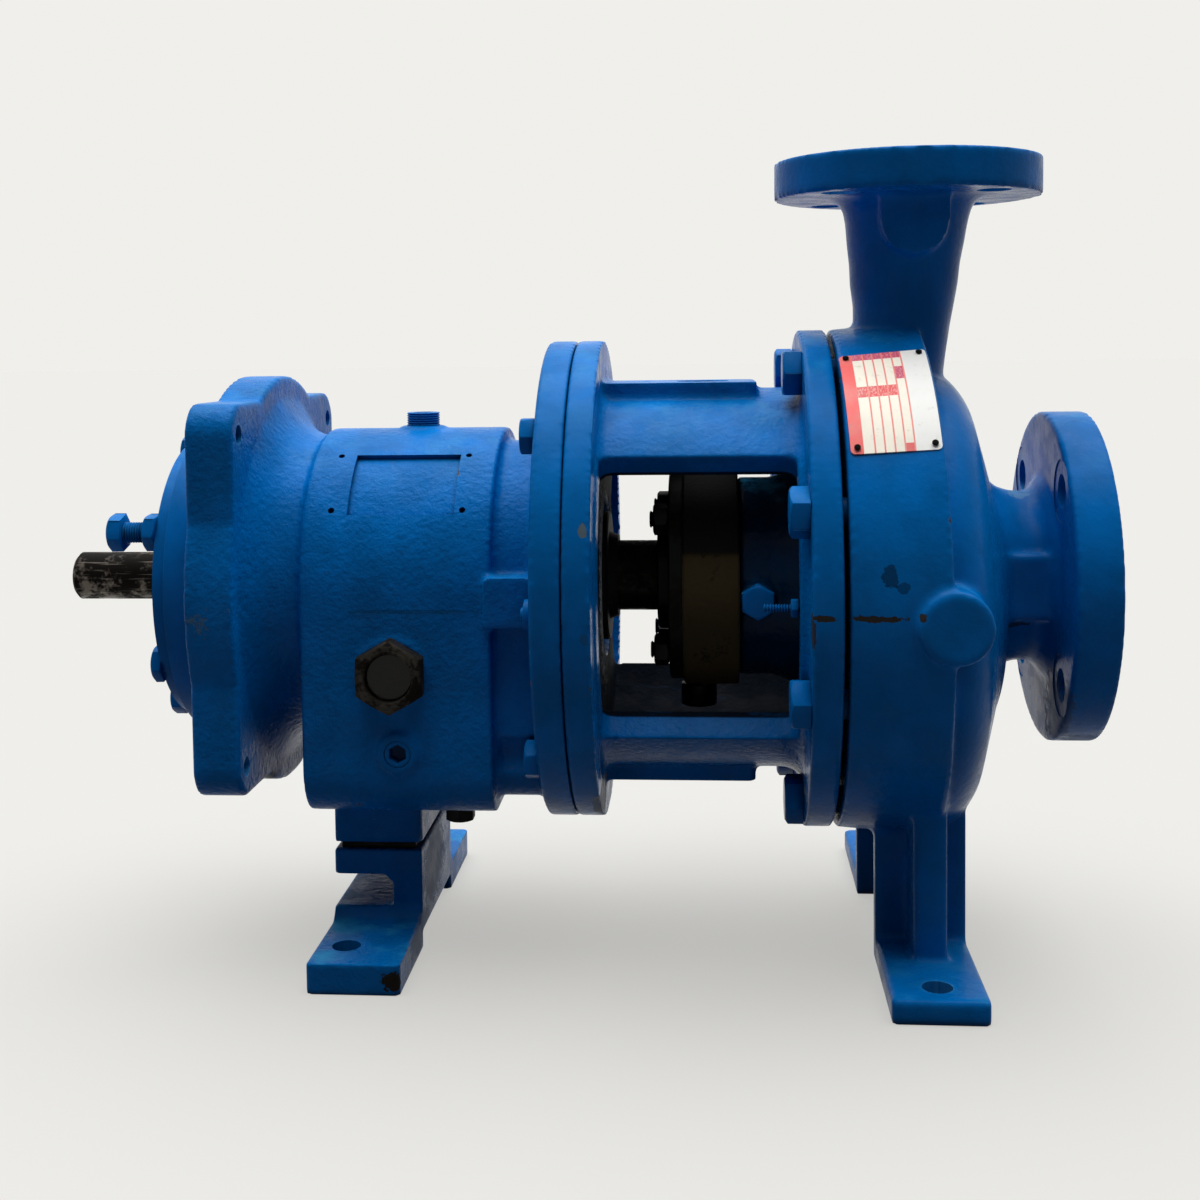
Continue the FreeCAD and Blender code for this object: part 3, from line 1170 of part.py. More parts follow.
def build_shaft():
    """Shaft, sleeve, flinger, locknut and the seals that turn with them."""
    thrust_right = d.thrust_left_x + d.thrust_width
    locknut_left = d.thrust_left_x - d.lockwasher_thick - d.locknut_thick
    coupling_end = d.drive_end_x + d.coupling_length
    radial_right = d.radial_left_x + d.radial_width
    shaft = turned("shaft_turned", [
        (d.drive_end_x, 0), (d.drive_end_x, d.coupling_radius - d.coupling_chamfer),
        (d.drive_end_x + d.coupling_chamfer, d.coupling_radius), (coupling_end, d.coupling_radius),
        (coupling_end, d.seal_journal), (locknut_left, d.seal_journal), (locknut_left, d.journal_radius),
        (thrust_right, d.journal_radius), (thrust_right, d.shoulder_radius),
        (d.radial_left_x, d.shoulder_radius), (d.radial_left_x, d.journal_radius),
        (radial_right, d.journal_radius), (radial_right, d.sleeve_radius),
        (d.sleeve_left_x, d.sleeve_radius), (d.sleeve_left_x, d.sleeve_bore),
        (d.impeller_back_x, d.sleeve_bore), (d.impeller_back_x, d.sleeve_bore * 0.7),
        (d.vane_outer_x, d.sleeve_bore * 0.7), (d.vane_outer_x, 0)])
    side = d.keyway_width / 2
    out = d.coupling_radius + 2
    angle = d.keyway_angle
    keyway = block("keyway", 0, 0, 0, d.keyway_length + 1, d.keyway_width, d.keyway_depth + 2)
    put(keyway, d.drive_end_x - 1, sine(angle) * out - cosine(angle) * side,
        -(cosine(angle) * out) - sine(angle) * side, Rotation(Vector(1, 0, 0), angle.value))
    part("shaft", cut("shaft_body", shaft, [keyway]))
    sleeve = turned("sleeve_turned", [
        (d.sleeve_left_x, d.sleeve_bore), (d.sleeve_left_x, d.sleeve_radius),
        (d.sleeve_right_x, d.sleeve_radius), (d.sleeve_right_x, d.sleeve_bore)])
    part("shaft_sleeve", sleeve)
    flinger = turned("flinger_turned", [
        (d.flinger_x, d.flinger_radius), (d.flinger_x + d.flinger_thick, d.flinger_radius),
        (d.flinger_x + d.flinger_thick, d.sleeve_radius + 5), (d.flinger_x + d.flinger_thick + 5,
                                                               d.sleeve_radius + 3),
        (d.flinger_x + d.flinger_thick + 5, d.sleeve_radius), (d.flinger_x - 1, d.sleeve_radius),
        (d.flinger_x - 1, d.sleeve_radius + 5), (d.flinger_x, d.sleeve_radius + 5)])
    part("flinger", flinger)
    washer = turned("lockwasher_turned", [
        (d.thrust_left_x - d.lockwasher_thick, d.journal_radius), (d.thrust_left_x - d.lockwasher_thick,
                                                                   d.locknut_radius),
        (d.thrust_left_x, d.locknut_radius), (d.thrust_left_x, d.journal_radius)])
    part("bearing_lockwasher", washer)
    nut = turned("locknut_turned", [
        (locknut_left, d.journal_radius), (locknut_left, d.locknut_radius - 2),
        (locknut_left + 2, d.locknut_radius), (d.thrust_left_x - d.lockwasher_thick, d.locknut_radius),
        (d.thrust_left_x - d.lockwasher_thick, d.journal_radius)])
    slots = []
    for k, angle in enumerate((0, 90, 180, 270), start=1):
        y, z = ring_place(d.locknut_radius, angle)
        slots.append(rod(f"locknut_slot_{k}", locknut_left - 1, y, z, d.locknut_thick + 2, 3))
    part("bearing_locknut", cut("locknut_body", nut, slots))
    frame_seal_left = d.adapter_left_x - d.frame_seal_length
    frame_seal = turned("frame_seal_turned", [
        (frame_seal_left, d.sleeve_radius + 0.3), (frame_seal_left, d.frame_seal_radius),
        (d.adapter_left_x + 2, d.frame_seal_radius), (d.adapter_left_x + 2, d.sleeve_radius + 0.3)])
    part("inboard_oil_seal", frame_seal)


def vane(number):
    """One backswept vane as a curved wall between two arcs."""
    inner = d.vane_inner_radius.value
    outer = impeller_radius.value + 4
    curve = d.vane_curve.value
    thick = d.vane_thick.value
    centre_far = math.sqrt(max(outer * outer - curve * curve, 1))
    # the vane follows a circle of radius `curve`, whose centre lies `reach` from the axis
    reach = (inner + centre_far) / 2
    outer_wall = Part.makeCylinder(curve + thick / 2, outer, Vector(-outer / 2, 0, 0), Vector(1, 0, 0))
    inner_wall = Part.makeCylinder(curve - thick / 2, outer, Vector(-outer / 2, 0, 0), Vector(1, 0, 0))
    wall = outer_wall.cut(inner_wall)
    wall.translate(Vector(0, 0, reach))
    side = Part.makeBox(outer, outer * 4, outer * 4, Vector(-outer / 2, 0, -outer * 2))
    wall = wall.common(side)
    wall.rotate(Vector(0, 0, 0), Vector(1, 0, 0), 360.0 / d.vane_count.value * number)
    return wall


def build_impeller():
    """Semi-open impeller: hub, back shroud and backswept vanes."""
    shroud_right = d.impeller_back_x + d.shroud_thick
    root = d.sleeve_bore * 0.7
    nose_x = d.vane_inner_x - d.hub_nose_inset
    hub = turned("impeller_hub", [
        (d.sleeve_right_x, d.sleeve_bore), (d.sleeve_right_x, d.hub_radius), (d.impeller_back_x,
                                                                              d.hub_radius),
        (d.impeller_back_x, impeller_radius), (shroud_right - 2, impeller_radius),
        (shroud_right, d.hub_radius + 8), (d.vane_outer_x, d.hub_radius), (nose_x, root * 0.5),
        (nose_x, 0), (d.vane_outer_x, 0), (d.vane_outer_x, root), (d.impeller_back_x, root),
        (d.impeller_back_x, d.sleeve_bore)])
    envelope = turned("impeller_envelope", [
        (shroud_right - 2.5, 15), (shroud_right - 2.5, impeller_radius), (d.vane_outer_x, impeller_radius),
        (d.vane_inner_x, d.suction_bore), (d.vane_inner_x, 15)])
    doc.recompute()
    frame = Placement(Vector(0, 0, d.shaft_height.value), Rotation())
    blades = []
    for number in range(int(d.vane_count.value)):
        blade = vane(number)
        blade.Placement = frame.multiply(blade.Placement)
        blades.append(blade.common(envelope.Shape))
    vanes = doc.addObject("Part::Feature", "impeller_vanes")
    vanes.Shape = Part.makeCompound(blades)
    part("impeller", fuse("impeller_body", [hub, vanes]))


def cone_sector(label, x, length, inner, grow, first_angle, sweep):
    """Slice of a cone from x on, whose radius grows by grow over its length."""
    cone = doc.addObject("Part::Cone", label)
    bind(cone, Radius1=inner + grow, Radius2=inner, Height=length, Angle=sweep)
    last = as_size(first_angle) + sweep
    turn = Rotation(Vector(1, 0, 0), last.value) * Rotation(Vector(0, 1, 0), -90)
    return put(cone, as_size(x) + length, 0, 0, turn)


def build_name_plate():
    """Thin plate bent round the casing band, with its four drive screws."""
    slope = (band_rim_radius - band_radius) / (d.band_end_x - d.casing_face_x)
    grow = slope * d.plate_width
    seat = band_radius + slope * (d.plate_left_x - d.casing_face_x) + 0.05
    plate = cut("plate_shell", cone_sector("plate_outer", d.plate_left_x, d.plate_width,
                                           seat + d.plate_thick,
                                           grow, d.plate_first, d.plate_sweep),
                [cone_sector("plate_inner", d.plate_left_x, d.plate_width, seat, grow, d.plate_first - 1,
                             d.plate_sweep + 2)])
    holes = []
    rivets = []
    for column, x in enumerate((d.plate_left_x + 3.5, d.plate_left_x + d.plate_width - 3.5), start=1):
        top = band_radius + slope * (x - d.casing_face_x) + d.plate_thick
        for row, angle in enumerate((d.plate_first + 1.4, d.plate_first + d.plate_sweep - 1.4), start=1):
            name = f"{column}_{row}"
            lean = Rotation(Vector(1, 0, 0), angle.value)
            y, z = ring_place(top - 5, angle)
            holes.append(put(bar_of(f"rivet_hole_{name}", d.rivet_radius * 0.7 + 0.05, as_size(7)), x, y,
                             z, lean))
            shank = put(bar_of(f"rivet_shank_{name}", d.rivet_radius * 0.7, as_size(5.5)), x, y, z, lean)
            y, z = ring_place(top + 0.3, angle)
            head = put(bar_of(f"rivet_head_{name}", d.rivet_radius, as_size(1)), x, y, z, lean)
            rivets.append(fuse(f"rivet_{name}", [shank, head]))
    part("name_plate", cut("plate_drilled", plate, holes))
    part("name_plate_rivets", group("rivet_set", rivets))
    return holes


def bar_of(label, radius, length):
    """Cylinder that the caller places."""
    bar = doc.addObject("Part::Cylinder", label)
    bind(bar, Radius=radius, Height=length)
    return bar


rivet_holes = build_name_plate()
build_casing()
build_cover()
build_gland()
build_adapter()
build_flange_bolts()
build_frame()
build_foot()
build_oil_fittings()
build_housing()
bearing("thrust", d.thrust_left_x, d.thrust_width, (0.27, 0.73))
bearing("radial", d.radial_left_x, d.radial_width, (0.5,))
build_shaft()
build_impeller()
doc.recompute()


def check_document():
    """Stop if a feature failed or a piece has no valid shape."""
    for thing in doc.Objects:
        if "Invalid" in thing.State or "Error" in thing.State:
            raise RuntimeError(f"{thing.Name} failed: {thing.State}")
    for node, thing in parts:
        if thing.Shape.isNull() or not thing.Shape.isValid() or not thing.Shape.Solids:
            raise RuntimeError(f"{node} has no valid solid")


check_document()
os.makedirs("parts", exist_ok=True)
for node, thing in parts:
    thing.Shape.exportStep(f"parts/{node}.step")
    print(f"{node}: {len(thing.Shape.Solids)} solids, {thing.Shape.Volume / 1000:.1f} cm3")
print(f"{len(parts)} nodes")
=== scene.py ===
import logging
import math
from dataclasses import dataclass, field
from enum import Enum
from typing import Callable, Iterable, Optional, Sequence

import bmesh
import bpy
from mathutils import Matrix, Vector


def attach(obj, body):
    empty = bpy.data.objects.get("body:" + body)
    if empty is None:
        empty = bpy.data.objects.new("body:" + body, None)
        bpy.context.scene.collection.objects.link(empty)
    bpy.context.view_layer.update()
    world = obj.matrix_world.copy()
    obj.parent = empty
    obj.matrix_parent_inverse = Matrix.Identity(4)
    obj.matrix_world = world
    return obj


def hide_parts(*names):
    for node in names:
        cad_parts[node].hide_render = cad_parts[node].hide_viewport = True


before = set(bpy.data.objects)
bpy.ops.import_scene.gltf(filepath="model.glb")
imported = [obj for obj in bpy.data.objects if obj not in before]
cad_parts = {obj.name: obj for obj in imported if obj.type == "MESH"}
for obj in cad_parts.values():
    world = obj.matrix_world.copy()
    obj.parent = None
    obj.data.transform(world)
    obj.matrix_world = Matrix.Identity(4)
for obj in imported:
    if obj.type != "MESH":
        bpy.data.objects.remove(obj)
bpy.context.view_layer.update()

MM = 0.001
AXIS_HEIGHT = 209.55

log = logging.getLogger("pump")

Point = tuple[float, float, float]
Ring = tuple[float, float, float, float, float]
Colour = tuple[float, float, float]


class Axis(Enum):
    """Direction in which a primitive is laid."""

    X = (0.0, math.pi / 2, 0.0)
    Y = (-math.pi / 2, 0.0, 0.0)
    Z = (0.0, 0.0, 0.0)


def srgb(red: int, green: int, blue: int) -> tuple[float, float, float, float]:
    """Scene-linear colour of three display values from 0 to 255."""
    def linear(value: int) -> float:
        share = value / 255
        return share / 12.92 if share <= 0.04045 else ((share + 0.055) / 1.055) ** 2.4
    return linear(red), linear(green), linear(blue), 1.0


# Modelling


def only(*objects: bpy.types.Object) -> bpy.types.Object:
    """Selects just these objects and makes the first one active."""
    if bpy.context.object and bpy.context.object.mode != "OBJECT":
        bpy.ops.object.mode_set(mode="OBJECT")
    bpy.ops.object.select_all(action="DESELECT")
    for thing in objects:
        thing.select_set(True)
    bpy.context.view_layer.objects.active = objects[0]
    return objects[0]


def settle(name: str) -> bpy.types.Object:
    """Names the new active object and moves its place into its mesh."""
    piece = bpy.context.object
    piece.name = name
    piece.data.name = name
    bpy.ops.object.transform_apply(location=True, rotation=True, scale=True)
    return piece


def up(z: float) -> float:
    """Height in millimetres above the floor of a height above the shaft axis."""
    return z + AXIS_HEIGHT


def metres(x: float, y: float, z: float) -> Vector:
    """Point in metres from millimetres, with z counted from the shaft axis."""
    return Vector((x * MM, y * MM, up(z) * MM))


def bar(name: str, start: Point, length: float, radius: float, axis: Axis = Axis.X, sides: int = 96,
        tip: Optional[float] = None) -> bpy.types.Object:
    """Adds a round or many-sided bar.

    Args:
        name: Object name.
        start: First end of the bar's axis, in millimetres.
        length: Length along the axis.
        radius: Radius, or the radius at the first end of a taper.
        axis: Direction of the bar.
        sides: Number of sides.
        tip: Radius at the far end, when the bar tapers.

    Returns:
        The new object.
    """
    bpy.ops.object.select_all(action="DESELECT")
    way = {Axis.X: Vector((1, 0, 0)), Axis.Y: Vector((0, 1, 0)), Axis.Z: Vector((0, 0, 1))}[axis]
    middle = metres(*start) + way * length * MM / 2
    if tip is None:
        bpy.ops.mesh.primitive_cylinder_add(vertices=sides, radius=radius * MM, depth=length * MM,
                                            location=middle, rotation=axis.value)
    else:
        bpy.ops.mesh.primitive_cone_add(vertices=sides, radius1=radius * MM, radius2=tip * MM,
                                        depth=length * MM, location=middle, rotation=axis.value)
    return settle(name)


def slab(name: str, low: Point, high: Point, radius: float = 0.0, axis: Axis = Axis.X,
         keep: Optional[Callable[[Vector], bool]] = None) -> bpy.types.Object:
    """Adds a block, with the edges along one axis rounded.

    Args:
        name: Object name.
        low: Lowest corner in millimetres.
        high: Highest corner.
        radius: Rounding of the edges that run along the axis.
        axis: Direction of the rounded edges.
        keep: Test of an edge's middle, true where it is rounded.

    Returns:
        The new object.
    """
    bpy.ops.object.select_all(action="DESELECT")
    a, b = metres(*low), metres(*high)
    bpy.ops.mesh.primitive_cube_add(size=1, location=(a + b) / 2)
    bpy.context.object.scale = b - a
    piece = settle(name)
    if radius > 0:
        index = "XYZ".index(axis.name)
        bpy.ops.object.mode_set(mode="EDIT")
        bpy.ops.mesh.select_mode(type="EDGE")
        pick(piece, "edges", lambda edge: along(edge, index) and (keep is None or keep(middle_of(edge))))
        bpy.ops.mesh.bevel(offset=radius * MM, segments=10, affect="EDGES")
        bpy.ops.object.mode_set(mode="OBJECT")
    return piece


def along(edge: bmesh.types.BMEdge, index: int) -> bool:
    """Whether an edge runs along one coordinate axis."""
    way = (edge.verts[1].co - edge.verts[0].co).normalized()
    return abs(way[index]) > 0.999


def middle_of(edge: bmesh.types.BMEdge) -> Vector:
    """Middle of an edge in millimetres, with z counted from the shaft axis."""
    middle = (edge.verts[0].co + edge.verts[1].co) / 2 / MM
    return Vector((middle.x, middle.y, middle.z - AXIS_HEIGHT))


def pick(piece: bpy.types.Object, kind: str, test: Callable[..., bool]) -> None:
    """Selects in edit mode the vertices, edges or faces that pass a test."""
    bpy.ops.mesh.select_all(action="DESELECT")
    mesh = bmesh.from_edit_mesh(piece.data)
    for item in getattr(mesh, kind):
        item.select_set(bool(test(item)))
    mesh.select_flush_mode()
    bmesh.update_edit_mesh(piece.data)


def ringed(name: str, axis: Axis, rings: Sequence[Ring], closed: bool = False,
           sides: int = 128) -> bpy.types.Object:
    """Draws a skin through rings, as a lathe or a loft would.

    Args:
        name: Object name.
        axis: Direction in which the rings follow each other.
        rings: Place along the axis, centre and two radii of each ring, in millimetres. The centre
            and radii go in X, Y, Z order, without the axis.
        closed: Whether the last ring joins the first, as in a tube wall.
        sides: Points round each ring.

    Returns:
        The new object.
    """
    def centre(ring: Ring) -> Vector:
        place, first, second = ring[:3]
        return {Axis.X: metres(place, first, second), Axis.Y: metres(first, place, second),
                Axis.Z: metres(first, second, place)}[axis]

    def stretch(first: float, second: float) -> Point:
        return {Axis.X: (1, first, second), Axis.Y: (first, 1, second), Axis.Z: (first, second, 1)}[axis]

    bpy.ops.object.select_all(action="DESELECT")
    bpy.ops.mesh.primitive_circle_add(vertices=sides, radius=MM, location=centre(rings[0]),
                                      rotation=axis.value, fill_type="NOTHING")
    piece = settle(name)
    bpy.ops.object.mode_set(mode="EDIT")
    bpy.ops.mesh.select_mode(type="EDGE")
    bpy.ops.mesh.select_all(action="SELECT")
    bpy.ops.transform.resize(value=stretch(rings[0][3], rings[0][4]), center_override=centre(rings[0]))
    for before, ring in zip(rings, rings[1:]):
        bpy.ops.mesh.extrude_edges_move(TRANSFORM_OT_translate={"value": centre(ring) - centre(before)})
        bpy.ops.transform.resize(value=stretch(ring[3] / before[3], ring[4] / before[4]),
                                 center_override=centre(ring))
    if closed:
        bpy.ops.mesh.select_all(action="DESELECT")
        bpy.ops.mesh.select_non_manifold(extend=False, use_wire=False)
        bpy.ops.mesh.bridge_edge_loops()
    else:
        bpy.ops.mesh.select_all(action="SELECT")
        bpy.ops.mesh.fill_holes(sides=0)
    bpy.ops.mesh.select_all(action="SELECT")
    bpy.ops.mesh.normals_make_consistent(inside=False)
    bpy.ops.object.mode_set(mode="OBJECT")
    return piece


def turned(name: str, profile: Sequence[tuple[float, float]], centre: tuple[float, float] = (0.0, 0.0),
           closed: bool = False, sides: int = 128) -> bpy.types.Object:
    """Turns (x, radius) corners about a line along X through (y, z)."""
    rings = [(x, centre[0], centre[1], radius, radius) for x, radius in profile]
    return ringed(name, Axis.X, rings, closed, sides)


def arc(start: tuple[float, float], end: tuple[float, float], middle: tuple[float, float],
        steps: int = 8) -> list[tuple[float, float]]:
    """Points of a round corner from start to end, bulging towards middle."""
    points = []
    for step in range(steps + 1):
        t = step / steps
        a, b, c = (1 - t) ** 2, 2 * t * (1 - t), t * t
        points.append((a * start[0] + b * middle[0] + c * end[0], a * start[1] + b * middle[1] + c * end[1]))
    return points


def wedge(name: str, x: float, length: float, inner: float, outer: float, first: float, last: float,
          steps: int = 36) -> bpy.types.Object:
    """Spins a rectangle part of the way round the shaft axis.

    Args:
        name: Object name.
        x: Left end in millimetres.
        length: Length along X.
        inner: Inner radius.
        outer: Outer radius.
        first: First angle in degrees, from the top towards the near side.
        last: Last angle.
        steps: Faces along the arc.

    Returns:
        The new object.
    """
    bpy.ops.object.select_all(action="DESELECT")
    bpy.ops.mesh.primitive_plane_add(size=1, location=metres(x + length / 2, 0, (inner + outer) / 2),
                                     rotation=(math.pi / 2, 0, 0))
    bpy.context.object.scale = (length * MM, (outer - inner) * MM, 1)
    piece = settle(name)
    turn = Matrix.Translation(metres(0, 0, 0)) @ Matrix.Rotation(math.radians(first), 4, "X")
    piece.data.transform(turn @ Matrix.Translation(-metres(0, 0, 0)))
    bpy.ops.object.mode_set(mode="EDIT")
    bpy.ops.mesh.select_all(action="SELECT")
    bpy.ops.mesh.spin(steps=steps, angle=math.radians(last - first), center=metres(0, 0, 0), axis=(-1, 0, 0))
    bpy.ops.object.mode_set(mode="OBJECT")
    middle = sum((v.co for v in piece.data.vertices), Vector()) / len(piece.data.vertices)
    offset = middle - metres(0, 0, 0)
    swept = math.degrees(math.atan2(-offset.y, offset.z)) % 360
    if abs(swept - (first + last) / 2) > 2:
        bpy.data.meshes.remove(piece.data)
        raise RuntimeError(f"{name} spun the wrong way: {swept}")
    bpy.ops.object.mode_set(mode="EDIT")
    bpy.ops.mesh.select_all(action="SELECT")
    bpy.ops.mesh.normals_make_consistent(inside=False)
    bpy.ops.object.mode_set(mode="OBJECT")
    return piece


def join(name: str, pieces: Sequence[bpy.types.Object]) -> bpy.types.Object:
    """Joins objects into the first one and names it."""
    piece = only(*pieces)
    if len(pieces) > 1:
        bpy.ops.object.join()
    piece.name = name
    piece.data.name = name
    return piece


def finish_modifier(piece: bpy.types.Object, kind: str, **settings: object) -> None:
    """Adds a modifier with its settings and applies it."""
    only(piece)
    modifier = piece.modifiers.new(kind.title(), kind)
    for key, value in settings.items():
        setattr(modifier, key, value)
    bpy.ops.object.modifier_apply(modifier=modifier.name)


def combine(piece: bpy.types.Object, operation: str, tools: Sequence[bpy.types.Object]) -> bpy.types.Object:
    """Adds tools to a piece, or cuts them out of it, one by one, and removes them.

    Args:
        piece: Object that is changed.
        operation: UNION or DIFFERENCE.
        tools: Closed meshes.

    Returns:
        The piece.
    """
    for tool in tools:
        finish_modifier(piece, "BOOLEAN", operation=operation, object=tool, solver="MANIFOLD")
        bpy.data.objects.remove(tool)
    if not piece.data.polygons:
        raise RuntimeError(f"{piece.name} has no faces left after {operation}")
    return piece


def carve(piece: bpy.types.Object, cutters: Sequence[bpy.types.Object]) -> bpy.types.Object:
    """Cuts tools out of a piece and removes the tools."""
    return combine(piece, "DIFFERENCE", cutters)


def cast(name: str, solids: Sequence[bpy.types.Object], cutters: Sequence[bpy.types.Object],
         drills: Sequence[Sequence[bpy.types.Object]], grain: float, relax: int = 4,
         limit: int = 180000) -> bpy.types.Object:
    """Melts overlapping solids into one casting with soft edges, and machines it.

    Args:
        name: Object name.
        solids: Overlapping closed solids.
        cutters: Solids taken away before the edges are softened.
        drills: Groups of solids taken away last, which leaves sharp edges. Those of one group
            don't touch each other.
        grain: Size of the skin's faces in millimetres.
        relax: Rounds of smoothing, which set how soft the edges are.
        limit: Most triangles that the skin keeps.

    Returns:
        The casting.
    """
    piece = combine(solids[0], "UNION", solids[1:])
    piece.name = name
    piece.data.name = name
    carve(piece, cutters)
    finish_modifier(piece, "REMESH", mode="VOXEL", voxel_size=grain * MM)
    finish_modifier(piece, "SMOOTH", factor=0.5, iterations=relax)
    carve(piece, [join("drill", group) for group in drills])
    count = sum(len(face.vertices) - 2 for face in piece.data.polygons)
    if count > limit:
        finish_modifier(piece, "DECIMATE", ratio=limit / count)
    bpy.ops.object.shade_smooth_by_angle(angle=math.radians(50))
    return piece


def soften(piece: bpy.types.Object, width: float = 0.6, segments: int = 2, angle: float = 30) -> bpy.types.Object:
    """Rounds the sharp edges of a machined piece and shades it smooth between them."""
    finish_modifier(piece, "BEVEL", width=width * MM, segments=segments, limit_method="ANGLE",
                    angle_limit=math.radians(angle), harden_normals=False)
    bpy.ops.object.shade_smooth_by_angle(angle=math.radians(32))
    return piece


def twin(piece: bpy.types.Object, name: str, move: Vector) -> bpy.types.Object:
    """Copies a piece with its own mesh and moves the mesh."""
    copy = piece.copy()
    copy.data = piece.data.copy()
    copy.name = name
    copy.data.name = name
    bpy.context.scene.collection.objects.link(copy)
    copy.data.transform(Matrix.Translation(move))
    return copy


def around(radius: float, angle: float) -> tuple[float, float]:
    """(y, z) at an angle from the top towards the near side, in millimetres."""
    turn = math.radians(angle)
    return -radius * math.sin(turn), radius * math.cos(turn)


def smooth_copy(node: str, name: str, bevel: float = 0.0, dissolve: bool = True) -> bpy.types.Object:
    """Copies a frame node, closes its mesh and shades it smooth."""
    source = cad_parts[node]
    piece = source.copy()
    piece.data = source.data.copy()
    piece.name = name
    piece.data.name = name
    for key in list(piece.keys()):
        del piece[key]
    piece.parent = None
    bpy.context.scene.collection.objects.link(piece)
    only(piece)
    bpy.ops.object.mode_set(mode="EDIT")
    bpy.ops.mesh.select_all(action="SELECT")
    bpy.ops.mesh.remove_doubles(threshold=0.00001)
    if dissolve:
        bpy.ops.mesh.dissolve_limited(angle_limit=math.radians(1))
    bpy.ops.object.mode_set(mode="OBJECT")
    if bevel > 0:
        soften(piece, bevel)
    else:
        bpy.ops.object.shade_smooth_by_angle(angle=math.radians(32))
    return piece


# Node graphs


class Graph:
    """Short way to write a node tree."""

    def __init__(self, tree: bpy.types.NodeTree) -> None:
        """Starts with an empty tree."""
        self.tree = tree
        tree.nodes.clear()

    def add(self, kind: str, inputs: Optional[dict] = None, **settings: object) -> bpy.types.Node:
        """Adds a node.

        Args:
            kind: Node type.
            inputs: Socket name or number to a value, or to a socket that is linked to it.
            settings: Properties of the node.

        Returns:
            The new node.
        """
        node = self.tree.nodes.new(kind)
        for key, value in settings.items():
            setattr(node, key, value)
        for key, value in (inputs or {}).items():
            if isinstance(value, bpy.types.NodeSocket):
                self.tree.links.new(value, node.inputs[key])
            else:
                node.inputs[key].default_value = value
        return node

    def math(self, operation: str, *values: object, clamp: bool = False) -> bpy.types.NodeSocket:
        """Adds a Math node and returns its output."""
        node = self.add("ShaderNodeMath", dict(enumerate(values)), operation=operation, use_clamp=clamp)
        return node.outputs[0]

    def span(self, value: object, low: float, high: float, start: float = 0.0,
             end: float = 1.0) -> bpy.types.NodeSocket:
        """Maps low to high onto start to end, smoothly and clamped."""
        node = self.add("ShaderNodeMapRange", {"Value": value, "From Min": low, "From Max": high,
                                               "To Min": start, "To Max": end}, interpolation_type="SMOOTHSTEP")
        return node.outputs["Result"]

    def mix(self, share: object, first: object, second: object, blend: str = "MIX") -> bpy.types.NodeSocket:
        """Mixes two colours."""
        node = self.add("ShaderNodeMix", data_type="RGBA", blend_type=blend)
        for index, value in ((0, share), (6, first), (7, second)):
            if isinstance(value, bpy.types.NodeSocket):
                self.tree.links.new(value, node.inputs[index])
            else:
                node.inputs[index].default_value = value
        return node.outputs[2]

    def noise(self, place: object, scale: float, detail: float = 3.0, rough: float = 0.55,
              stretch: Optional[Point] = None) -> bpy.types.NodeSocket:
        """Noise value of a place, with scale in features per metre."""
        if stretch:
            place = self.add("ShaderNodeMapping", {"Vector": place, "Scale": stretch}).outputs[0]
        node = self.add("ShaderNodeTexNoise", {"Vector": place, "Scale": scale, "Detail": detail,
                                               "Roughness": rough})
        return node.outputs["Fac"]

    def place(self) -> bpy.types.NodeSocket:
        """Object coordinates."""
        return self.add("ShaderNodeTexCoord").outputs["Object"]


def new_group(name: str, inputs: dict[str, float], outputs: Sequence[str]) -> tuple[Graph, bpy.types.Node, bpy.types.Node]:
    """Starts a shader node group with float sockets."""
    tree = bpy.data.node_groups.new(name, "ShaderNodeTree")
    graph = Graph(tree)
    for label, value in inputs.items():
        socket = tree.interface.new_socket(name=label, in_out="INPUT", socket_type="NodeSocketFloat")
        socket.default_value = value
    for label in outputs:
        tree.interface.new_socket(name=label, in_out="OUTPUT", socket_type="NodeSocketFloat")
    return graph, graph.add("NodeGroupInput"), graph.add("NodeGroupOutput")


